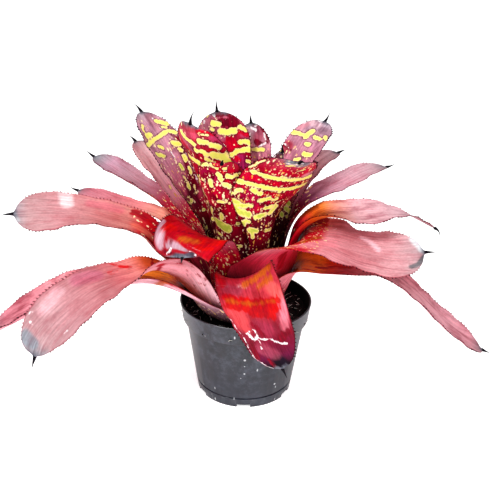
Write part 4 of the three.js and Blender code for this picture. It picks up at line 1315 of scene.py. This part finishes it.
        "below": [
            (0, "#28010c"), (0.08, "#980c28"), (0.15, "#d87884"), (0.25, "#e88890"), (0.5, "#dc8c98"),
            (0.75, "#e0a0aa"), (0.93, "#d09098"), (1, "#5e5c62"),
        ],
        "flecks": (0.3, 0.12, 0.2),
        "patches": [
            ("scarlet", (318, 268, 334, 267, 350, 268, 5), (326, 255, 334, 259, 344, 265, 6),
             (298, 271, 314, 271, 3)),
            ("wine", (288, 262, 290, 267, 3)),
        ],
    },
    "leaf_red_front": {
        "slot": "leaf_red", "ring": 17, "azimuth": [-92, -75], "spine": [7, 10],
        "path": [[58, 125], [78, 151], [96, 162], [109, 154], [119, 135], [124, 113], [126, 91]],
        "half": [37, 34, 27, 25], "roll": [0, 0, 5, 28, 33, 30], "channel": [60, 52, 50, 10, -15, 5],
        "above": [
            (0, "#28010c"), (0.3, "#780824"), (0.42, "#a02824"), (0.5, "#a02030"), (0.58, "#a83040"),
            (0.66, "#b83c44"), (0.76, "#98283c"), (0.84, "#841838"), (0.92, "#601038"),
            (0.96, "#200818"), (1, "#12060e"),
        ],
        "below": [(0, "#200008"), (0.4, "#a01030"), (0.6, "#c04858"), (0.9, "#a8405c"), (1, "#2a1018")],
        "flecks": (0.5, 0.2, 0.4),
        "washes": [
            ("#d04c50", 0.85, 9, 234, 312, 246, 326),
            # painted reflection: the pink panel down the right side
            ("#d87c8a", 0.95, 4.5, 281, 296, 284, 310, 285, 328),
            ("#983048", 0.7, 8, 256, 326, 270, 330), ("#d05c58", 0.8, 6, 270, 286, 278, 294),
            ("#a04458", 0.6, 5, 226, 288, 238, 291), ("#16081c", 0.95, 8, 280, 360, 285, 366),
            ("#b8586c", 0.4, 8, 262, 348, 274, 354),
        ],
        "patches": [
            ("orange", (244, 285, 254, 280, 262, 273, 269, 267, 5.5), (260, 286, 270, 278, 5),
             (227, 300, 240, 303, 252, 304, 264, 303, 2.6), (267, 301, 275, 301, 2)),
            ("scarlet", (225, 297, 238, 300, 250, 302, 262, 302, 277, 300, 6),
             (231, 304, 246, 307, 258, 309, 274, 308, 10), (252, 312, 266, 315, 273, 316, 7),
             (215, 274, 222, 284, 6)),
            ("wine", (252, 344, 256, 356, 7), (281, 339, 288, 331, 6), (222, 294, 228, 299, 2.4),
             (252, 324, 266, 336, 2.4), (270, 360, 276, 366, 3)),
            # the white patches are painted highlights: wavy glints on the belly and a pale line
            ("chalk", (249, 332, 252, 328.5, 256, 331, 258, 336, 255, 340, 251, 337, 249, 332, 1.7),
             (258, 337, 263, 339, 271, 339, 281, 343, 287, 343, 1.4), (260, 340, 261.5, 348, 1.3),
             (247, 333, 250, 337, 1.3),
             (229.5, 318.5, 237, 328, 247.5, 344, 249.5, 349, 255, 361, 263, 369, 272, 372.5, 282, 372, 0.9)),
        ],
    },
    "leaf_drooping_left": {
        "slot": "leaf_pink", "ring": 18, "azimuth": [216, 218], "spine": [8, -10],
        "path": [
            [57, 113], [79, 140], [103, 152], [124, 151], [154, 148], [184, 135], [207, 117],
            [214, 103],
        ],
        "half": [39, 33, 26, 28], "roll": [0, 20, -10, -30], "channel": [65, 60, 25, 25],
        "above": [
            (0, "#28010c"), (0.25, "#a83830"), (0.34, "#c84c28"), (0.42, "#d05c34"), (0.48, "#d4827d"),
            (0.55, "#c77477"), (0.62, "#b17276"), (0.8, "#b48489"), (0.93, "#ad8c8f"),
            (0.97, "#8a8288"), (1, "#4c4a50"),
        ],
        "below": [
            (0, "#28010c"), (0.12, "#b07888"), (0.18, "#e0b4be"), (0.24, "#f0c0c8"), (0.3, "#f0a8b0"),
            (0.36, "#e4949c"), (0.45, "#dc9098"), (0.6, "#dc98a2"), (0.9, "#cc98a4"), (1, "#4c4a50"),
        ],
        "flecks": (0.9, 0.12, 0.22),
        "washes": [
            ("#80868e", 0.9, 6, 24, 336, 34, 344), ("#b8607c", 0.5, 9, 78, 280, 96, 276),
            ("#e4bcc4", 0.35, 7, 58, 292, 44, 310),
        ],
        "patches": [
            # the white patches are painted glints
            ("chalk", (29, 314, 33, 311, 1), (64, 334, 68, 331, 1), (30, 322, 34, 325, 0.9)),
            ("scarlet", (109, 274, 117, 272, 1.6)),
            ("wine", (152, 260, 160, 265, 4), (208, 268, 211, 276, 1.6), (196, 274, 206, 280, 1.4),
             (192, 266, 197, 268, 1), (186, 270, 188, 276, 1), (200, 283, 206, 285, 1),
             (178, 262, 182, 263, 1), (194, 284, 196, 289, 1)),
            ("scarlet", (112, 265, 120, 266, 130, 268, 3.5)),
        ],
    },
    "leaf_lowest_left": {
        "slot": "leaf_red", "ring": 19, "azimuth": [206, 203], "spine": [7, 10],
        "path": [
            [47, 93], [60, 112], [90, 129], [129, 136], [163, 135], [194, 124], [226, 110], [244, 101],
        ],
        "half": [52, 32, 25, 25], "roll": [0, 5, 5, 10], "channel": [60, 50, 50, 25],
        "clasp": [40, 90],
        "above": [
            (0, "#28010c"), (0.15, "#6c1018"), (0.2, "#d84818"), (0.25, "#ff9c30"), (0.34, "#f8943c"),
            (0.4, "#d88478"), (0.55, "#cd8289"), (0.9, "#c57e89"), (1, "#5c5a60"),
        ],
        "below": [
            (0, "#28010c"), (0.14, "#a07884"), (0.22, "#d0a0ac"), (0.4, "#e0acb4"), (0.6, "#dc94a0"),
            (0.9, "#d48c98"), (1, "#5c5a60"),
        ],
        "flecks": (0.9, 0.1, 0.2),
        "patches": [
            ("orange", (140, 277, 150, 278, 164, 281, 6)),
            ("scarlet", (164, 282, 174, 285, 182, 289, 3)),
        ],
    },
}


def camelName(node):
    first, *rest = node.split("_")
    return first + "".join(word.capitalize() for word in rest)


def addLeaves():
    tree = teethTree()
    sizes = {key: toothShape[key] for key in ("Pitch", "Height", "Width", "Lean", "Least", "Most")}
    skins = {
        "leaf_spotted": leafMaterial("spottedLeafSkin", "leaf_spotted"),
        "leaf_red": leafMaterial("redLeafSkin", "leaf_red"),
        "leaf_pink": leafMaterial("pinkLeafSkin", "leaf_pink"),
    }
    for number, (node, leaf) in enumerate(leaves.items()):
        leaf["number"] = number
        name = camelName(node)
        piece = newObject(name, leafMesh(name, leaf))
        applyTree(piece, tree, {**sizes, "Seed": number, "Skin": skins[leaf["slot"]]})
        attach(piece, "root")
        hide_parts(node)


addLeaves()
print("leaves ready")


# Nursery pot, injection moulded. Millimetres.
pot = {
    "sides": 144,
    "foot": [(0, 0), (14, 0), (14.6, 1.8), (42.6, 1.8), (43.2, 0), (48, 0), (49.4, 9.7)],
    "groove": [(48.6, 10.3), (48.7, 11), (49.7, 11.6)],
    "collar": [(59, 77), (62, 78), (62.5, 79), (64.6, 95), (65, 96.2), (64.3, 96.8)],
    "inside": [
        (63.4, 96.4), (62.9, 95), (61.2, 80.2), (57.5, 79), (56.9, 76.5), (46.9, 5.2), (45.9, 4.2), (0, 4.2),
    ],
    "notches": 6,
    "notchSize": (13, 10, 6),
    "notchReach": 47.6,
    "edgeRound": 0.35,
    "edgeSteps": 2,
    "roundedFrom": 28,  # degrees between faces
    "sharpFrom": 40,
    "tones": [(0.36, "#16181e"), (0.5, "#272a33"), (0.7, "#4e525e")],  # from clean to scuffed
    "cloudSize": 16.667,
    "roughSpan": (0.3, 0.7, 0.3, 0.46),  # of the clouds, and roughness clean and scuffed
    "grainSize": 1.1111,
    "grainDepth": 0.1,
    "grainStrength": 0.25,
    "shadowed": "#1c1f30",  # painted shade: the foot darker and bluer
    "shadowedSpan": (60, 6),  # heights where that starts and is full
    "shadowedShare": 0.6,
    "dampAndShaded": "#08080a",  # damp inside of the lip, darkened further by painted shade
    "lipBottom": 78.8,
    "lipMiddle": (0.125, 52.3),  # slope, and radius at the floor, of a cone within the lip's wall
    "lime": "#c9ccd0",
    "speckCell": (3.125, 3.125, 7.6923),
    "speckShare": 0.035,
    "speckEdge": (0.28, 0.16),
    "speckStrength": 0.75,
    # dried drips on the front: distance to the right, height, radius
    "drips": [(0.4, 59, 1.4), (0.3, 51.5, 0.7), (0.3, 42.4, 1.1), (-3.1, 36.8, 0.6), (30, 23.6, 1.1)],
    "dripStrength": 0.8,
}


def revolve(name, outline, sides):
    # turns an outline of (radius, height) points into a closed solid
    mesh = bpy.data.meshes.new(name)
    work = bmesh.new()
    rings = []
    for radius, height in outline:
        count = 1 if radius == 0 else sides
        angles = [2 * math.pi * k / sides for k in range(count)]
        places = [(radius * math.cos(a) * mm, radius * math.sin(a) * mm, height * mm) for a in angles]
        rings.append([work.verts.new(place) for place in places])
    for low, high in zip(rings, rings[1:] + rings[:1]):
        if len(low) == len(high) == 1:
            continue
        for k in range(sides):
            n = (k + 1) % sides
            if len(low) == 1:
                work.faces.new((low[0], high[n], high[k]))
            elif len(high) == 1:
                work.faces.new((low[k], low[n], high[0]))
            else:
                work.faces.new((low[k], low[n], high[n], high[k]))
    work.to_mesh(mesh)
    work.free()
    return mesh


def addDrips(tree, place, marks):
    # round drops on the viewer's side of the pot
    inFront = addNode(tree, "ShaderNodeMath", {"operation": "LESS_THAN", 0: place["Y"], 1: 0})
    seenFlat = addNode(tree, "ShaderNodeCombineXYZ", {0: place["X"], 2: place["Z"]})
    for across, height, radius in pot["drips"]:
        away = addNode(tree, "ShaderNodeVectorMath",
                       {"operation": "DISTANCE", 0: seenFlat, 1: (across * mm, 0, height * mm)})
        drop = addNode(tree, "ShaderNodeMapRange",
                       {0: away, 1: radius * mm, 2: radius * mm / 2, 4: pot["dripStrength"]})
        facing = addNode(tree, "ShaderNodeMath", {"operation": "MULTIPLY", 0: drop, 1: inFront})
        marks = addNode(tree, "ShaderNodeMath", {"operation": "MAXIMUM", 0: marks, 1: facing})
    return marks


def potMaterial():
    # black polypropylene, injection moulded: a soft satin shine, greyed by handling and dried hard water
    material, tree = newMaterial("pottingPolypropylene")
    at = addNode(tree, "ShaderNodeTexCoord").outputs["Object"]
    place = addNode(tree, "ShaderNodeSeparateXYZ", {0: at}).outputs
    clouds = addNode(tree, "ShaderNodeTexNoise", {
        "Scale": 1 / (pot["cloudSize"] * mm), "Detail": 9, "Roughness": 0.74, "Vector": at})
    body = addNode(tree, "ShaderNodeValToRGB", {0: clouds}, pot["tones"])
    # painted shade, darker and bluer towards the foot
    low, high = pot["shadowedSpan"]
    body = layOver(tree, body, pot["shadowed"], place["Z"], low * mm, high * mm,
                   most=pot["shadowedShare"])

    # dried hard water
    drawn = addNode(tree, "ShaderNodeMapping",
                    {"Scale": [1 / (size * mm) for size in pot["speckCell"]], "Vector": at})
    cells = addNode(tree, "ShaderNodeTexVoronoi", {"Scale": 1, "Vector": drawn})
    chance = addNode(tree, "ShaderNodeSeparateColor", {0: cells.outputs["Color"]})
    rare = addNode(tree, "ShaderNodeMath", {"operation": "LESS_THAN", 0: chance, 1: pot["speckShare"]})
    outer, inner = pot["speckEdge"]
    dot = addNode(tree, "ShaderNodeMapRange", {0: cells, 1: outer, 2: inner, 4: pot["speckStrength"]})
    marks = addNode(tree, "ShaderNodeMath", {"operation": "MULTIPLY", 0: rare, 1: dot})
    marks = addDrips(tree, place, marks)
    limed = addNode(tree, "ShaderNodeMix", {"data_type": "RGBA", 0: marks, 6: body, 7: pot["lime"]})

    # the inside of the lip, near-black for damp and painted shade: nearer the axis than the middle of its
    # sloping wall
    slope, reach = pot["lipMiddle"]
    level = addNode(tree, "ShaderNodeCombineXYZ", {0: place["X"], 1: place["Y"]})
    radius = addNode(tree, "ShaderNodeVectorMath", {"operation": "LENGTH", 0: level})
    wall = addNode(tree, "ShaderNodeMath",
                   {"operation": "MULTIPLY_ADD", 0: place["Z"], 1: slope, 2: reach * mm})
    within = addNode(tree, "ShaderNodeMath", {"operation": "LESS_THAN", 0: radius, 1: wall})
    inLip = addNode(tree, "ShaderNodeMath",
                    {"operation": "GREATER_THAN", 0: place["Z"], 1: pot["lipBottom"] * mm})
    isInside = addNode(tree, "ShaderNodeMath", {"operation": "MULTIPLY", 0: within, 1: inLip})
    colour = addNode(tree, "ShaderNodeMix", {"data_type": "RGBA", 0: isInside, 6: limed, 7: pot["dampAndShaded"]})

    low, high, smooth, dull = pot["roughSpan"]
    rough = addNode(tree, "ShaderNodeMapRange", {0: clouds, 1: low, 2: high, 3: smooth, 4: dull})
    grain = addNode(tree, "ShaderNodeTexNoise",
                    {"Scale": 1 / (pot["grainSize"] * mm), "Detail": 2, "Vector": at})
    bump = addNode(tree, "ShaderNodeBump",
                   {"Strength": pot["grainStrength"], "Distance": pot["grainDepth"] * mm, "Height": grain})
    shader = addNode(tree, "ShaderNodeBsdfPrincipled",
                     {"Base Color": colour, "Roughness": rough, "Normal": bump})
    addNode(tree, "ShaderNodeOutputMaterial", {"Surface": shader})
    return material


def addPot():
    outline = pot["foot"] + pot["groove"] + pot["collar"] + pot["inside"]
    piece = newObject("nurseryPot", revolve("nurseryPot", outline, pot["sides"]))
    work = bmesh.new()
    size = Matrix.Diagonal((*[s * mm for s in pot["notchSize"]], 1))
    placed = Matrix.Translation((0, -pot["notchReach"] * mm, 0)) @ size
    for k in range(pot["notches"]):
        turned = Matrix.Rotation(2 * math.pi * k / pot["notches"], 4, "Z")
        bmesh.ops.create_cube(work, size=1, matrix=turned @ placed)
    cutterMesh = bpy.data.meshes.new("notchCutter")
    work.to_mesh(cutterMesh)
    work.free()
    cutter = newObject("notchCutter", cutterMesh)
    cut = piece.modifiers.new("notches", "BOOLEAN")
    cut.operation = "DIFFERENCE"
    cut.solver = "EXACT"
    cut.object = cutter
    soften = piece.modifiers.new("edges", "BEVEL")
    soften.width = pot["edgeRound"] * mm
    soften.segments = pot["edgeSteps"]
    soften.limit_method = "ANGLE"
    soften.angle_limit = math.radians(pot["roundedFrom"])
    applyModifiers(piece)
    bpy.data.objects.remove(cutter)
    piece.data.shade_smooth()
    piece.data.set_sharp_from_angle(angle=math.radians(pot["sharpFrom"]))
    piece.data.materials.append(potMaterial())
    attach(piece, "root")
    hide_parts("pot")


addPot()
print("pot ready")


# Potting mix of peat, bark and fibre, level below the rim. Millimetres.
mix = {
    "sides": 120,
    "bottom": 4.5,
    "outside": [(45.6, 4.5), (46.5, 5.4), (56.5, 76.6), (57.2, 79.3), (60.6, 80.5)],
    "edge": 61.2,
    "top": 84.2,
    "topFrom": 83.7,  # all that is higher is strewn and lumpy
    "hole": 31,
    "holeBottom": 54,
    "rings": 26,
    "lumps": 1.6,
    "settled": 0.4,
    "level": (6, 0.3),  # how near the wall it lies flatter, and what is left of the lumps there
    "lumpWaves": 14,
    "lumpShare": 0.2,  # of each wave
    "lumpStretch": (0.5, 2.2),
    "lumpSizes": ((14, 3, 0.7), (5, 4, 0.5)),  # size, seed and share
    "Chips": 900,
    "Chip length": 5.5 * mm,
    "Fibres": 130,
    "Fibre length": 8 * mm,
    "seed": 5,
    "turn": 6.28,
    # each kind: shift of the seed, tilt, least and largest scale, and pallor
    "strewn": {"Chip": (0, 0.5, (0.12, 0.06, 0.04), (0.7, 0.28, 0.16), 0.0),
               "Fibre": (1, 0.14, (0.4, 0.045, 0.04), (1.0, 0.075, 0.06), 1.0)},
    "tones": [(0.35, "#040303"), (0.8, "#130d0a")],  # peat and bark
    "fibre": "#b4b8b0",
    "crumbSize": 2.381,
    "crumbDepth": 0.8,
    "wetSize": 3.8462,
    "wetSpan": (0.56, 0.64, 0.95, 0.12),  # of the noise, and its roughness dry and wet
    "sheen": 0.35,
}


def lump(x, y, size, seed):
    # smooth random height, mostly between -1 and 1
    total = 0
    draw = np.random.default_rng(seed)
    for _ in range(mix["lumpWaves"]):
        angle = draw.uniform(0, 2 * math.pi)
        phase = draw.uniform(0, 2 * math.pi)
        stretch = draw.uniform(*mix["lumpStretch"])
        along = x * math.cos(angle) + y * math.sin(angle)
        total += math.sin(along * 2 * math.pi / (size * stretch) + phase)
    return total * mix["lumpShare"]


def soilMaterial():
    # damp peat and bark crumbs: almost black, matt, with small wet glints
    material, tree = newMaterial("dampPottingMix")
    at = addNode(tree, "ShaderNodeTexCoord").outputs["Object"]
    crumbs = addNode(tree, "ShaderNodeTexNoise", {
        "Scale": 1 / (mix["crumbSize"] * mm), "Detail": 6, "Roughness": 0.7, "Vector": at})
    peat = addNode(tree, "ShaderNodeValToRGB", {0: crumbs}, mix["tones"])
    pallor = addNode(tree, "ShaderNodeAttribute", {"attribute_name": "pallor"}).outputs["Fac"]
    colour = addNode(tree, "ShaderNodeMix", {"data_type": "RGBA", 0: pallor, 6: peat, 7: mix["fibre"]})
    wetness = addNode(tree, "ShaderNodeTexNoise",
                      {"Scale": 1 / (mix["wetSize"] * mm), "Detail": 2, "Vector": at})
    low, high, dry, wet = mix["wetSpan"]
    rough = addNode(tree, "ShaderNodeMapRange", {0: wetness, 1: low, 2: high, 3: dry, 4: wet})
    bump = addNode(tree, "ShaderNodeBump",
                   {"Strength": 1, "Distance": mix["crumbDepth"] * mm, "Height": crumbs})
    shader = addNode(tree, "ShaderNodeBsdfPrincipled", {
        "Base Color": colour, "Roughness": rough, "Specular IOR Level": mix["sheen"], "Normal": bump})
    addNode(tree, "ShaderNodeOutputMaterial", {"Surface": shader})
    return material


def chipTree():
    # bark chips and pale fibres strewn over the top of the mix
    tree, given = newTree("barkChips", "Mix", {
        "Chips": "Int", "Chip length": "Float", "Fibres": "Int", "Fibre length": "Float", "Seed": "Int",
        "Skin": "Material"})
    top = addNode(tree, "GeometryNodeInputNamedAttribute", {"data_type": "FLOAT", "Name": "top"})
    topArea = math.pi * (mix["edge"] ** 2 - mix["hole"] ** 2) * mm * mm
    joined = addNode(tree, "GeometryNodeJoinGeometry")
    for kind, (shift, tilt, least, largest, pallor) in mix["strewn"].items():
        seed = addNode(tree, "ShaderNodeMath", {"operation": "ADD", 0: given["Seed"], 1: shift})
        density = addNode(tree, "ShaderNodeMath", {"operation": "DIVIDE", 0: given[kind + "s"], 1: topArea})
        spots = addNode(tree, "GeometryNodeDistributePointsOnFaces", {
            "distribute_method": "RANDOM", "Mesh": given["Mix"], "Selection": top, "Seed": seed,
            "Density": density})
        chip = addNode(tree, "GeometryNodeMeshIcoSphere",
                       {"Subdivisions": 1, "Radius": given[kind + " length"]})
        turn = addNode(tree, "FunctionNodeRandomValue", {
            "data_type": "FLOAT_VECTOR", 0: (-tilt, -tilt, 0), 1: (tilt, tilt, mix["turn"]), "Seed": seed})
        size = addNode(tree, "FunctionNodeRandomValue",
                       {"data_type": "FLOAT_VECTOR", 0: least, 1: largest, "Seed": seed})
        pieces = addNode(tree, "GeometryNodeInstanceOnPoints",
                         {"Points": spots, "Instance": chip, "Rotation": turn, "Scale": size})
        real = addNode(tree, "GeometryNodeRealizeInstances", {0: pieces})
        pale = addNode(tree, "GeometryNodeStoreNamedAttribute",
                       {"data_type": "FLOAT", "Name": "pallor", "Value": pallor, "Geometry": real})
        tree.links.new(pale.outputs[0], joined.inputs[0])
    tree.links.new(given["Mix"], joined.inputs[0])
    skinned = addNode(tree, "GeometryNodeSetMaterial", {"Geometry": joined, "Material": given["Skin"]})
    addNode(tree, "NodeGroupOutput", {0: skinned})
    return tree


def addSoil():
    edge, hole, rings = mix["edge"], mix["hole"], mix["rings"]
    top = [(edge + (hole - edge) * k / rings, mix["top"]) for k in range(rings + 1)]
    plug = [(hole, mix["holeBottom"]), (0, mix["holeBottom"])]
    mesh = revolve("pottingMix", [(0, mix["bottom"])] + mix["outside"] + top + plug, mix["sides"])
    flags = np.zeros(len(mesh.vertices))
    nearWall, left = mix["level"]
    for vertex in mesh.vertices:
        if vertex.co.z > mix["topFrom"] * mm:
            flags[vertex.index] = 1
            x, y = vertex.co.x / mm, vertex.co.y / mm
            free = left + (1 - left) * float(ease(edge, edge - nearWall, math.hypot(x, y)))
            height = sum(lump(x, y, size, seed) * share for size, seed, share in mix["lumpSizes"])
            vertex.co.z += (mix["lumps"] * height * free - mix["settled"]) * mm
    layer = mesh.attributes.new("top", "FLOAT", "POINT")
    layer.data.foreach_set("value", flags)
    mesh.shade_smooth()
    piece = newObject("pottingMix", mesh)
    sizes = {name: mix[name] for name in ("Chips", "Chip length", "Fibres", "Fibre length")}
    applyTree(piece, chipTree(), {**sizes, "Seed": mix["seed"], "Skin": soilMaterial()})
    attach(piece, "root")
    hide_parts("soil")


addSoil()
print("potting mix ready")


# Short stem under the leaf bases, sheathed in dead leaf scales. Millimetres.
stem = {
    "sides": 96,
    "foot": [(0, 54.3), (30.7, 54.3), (30.7, 84.5)],
    "shoulder": (33.9, 84.5),
    "neck": (10.85, 112.4),
    "top": [(8.5, 115), (0, 115)],
    "scars": 18,
    "scarSteps": 4,
    "scarDepth": 0.35,
    "sharpFrom": 50,  # degrees between faces
    "tones": [(0.3, "#3a2417"), (0.7, "#7d5c3c")],
    "fibreCell": (11.111, 11.111, 1.4286),
    "fibreDepth": 0.4,
    "fibreStrength": 0.6,
    "roughness": 0.8,
}


def stemMaterial():
    # dead sheath scales: dry, papery, brown, with fibres running round
    material, tree = newMaterial("dryLeafSheath")
    at = addNode(tree, "ShaderNodeTexCoord").outputs["Object"]
    drawn = addNode(tree, "ShaderNodeMapping",
                    {"Scale": [1 / (size * mm) for size in stem["fibreCell"]], "Vector": at})
    fibre = addNode(tree, "ShaderNodeTexNoise", {"Scale": 1, "Detail": 4, "Vector": drawn})
    colour = addNode(tree, "ShaderNodeValToRGB", {0: fibre}, stem["tones"])
    bump = addNode(tree, "ShaderNodeBump",
                   {"Strength": stem["fibreStrength"], "Distance": stem["fibreDepth"] * mm, "Height": fibre})
    shader = addNode(tree, "ShaderNodeBsdfPrincipled",
                     {"Base Color": colour, "Roughness": stem["roughness"], "Normal": bump})
    addNode(tree, "ShaderNodeOutputMaterial", {"Surface": shader})
    return material


def addStem():
    (lowRadius, lowHeight), (highRadius, highHeight) = stem["shoulder"], stem["neck"]
    steps = stem["scars"] * stem["scarSteps"]
    cone = []
    for k in range(steps + 1):
        s = k / steps
        dip = stem["scarDepth"] * (0.5 - 0.5 * math.cos(2 * math.pi * s * stem["scars"]))
        radius = lowRadius + (highRadius - lowRadius) * s - dip
        cone.append((radius, lowHeight + (highHeight - lowHeight) * s))
    piece = newObject("crownStem", revolve("crownStem", stem["foot"] + cone + stem["top"], stem["sides"]))
    piece.data.shade_smooth()
    piece.data.set_sharp_from_angle(angle=math.radians(stem["sharpFrom"]))
    piece.data.materials.append(stemMaterial())
    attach(piece, "root")
    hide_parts("stem")


addStem()
print("stem ready")
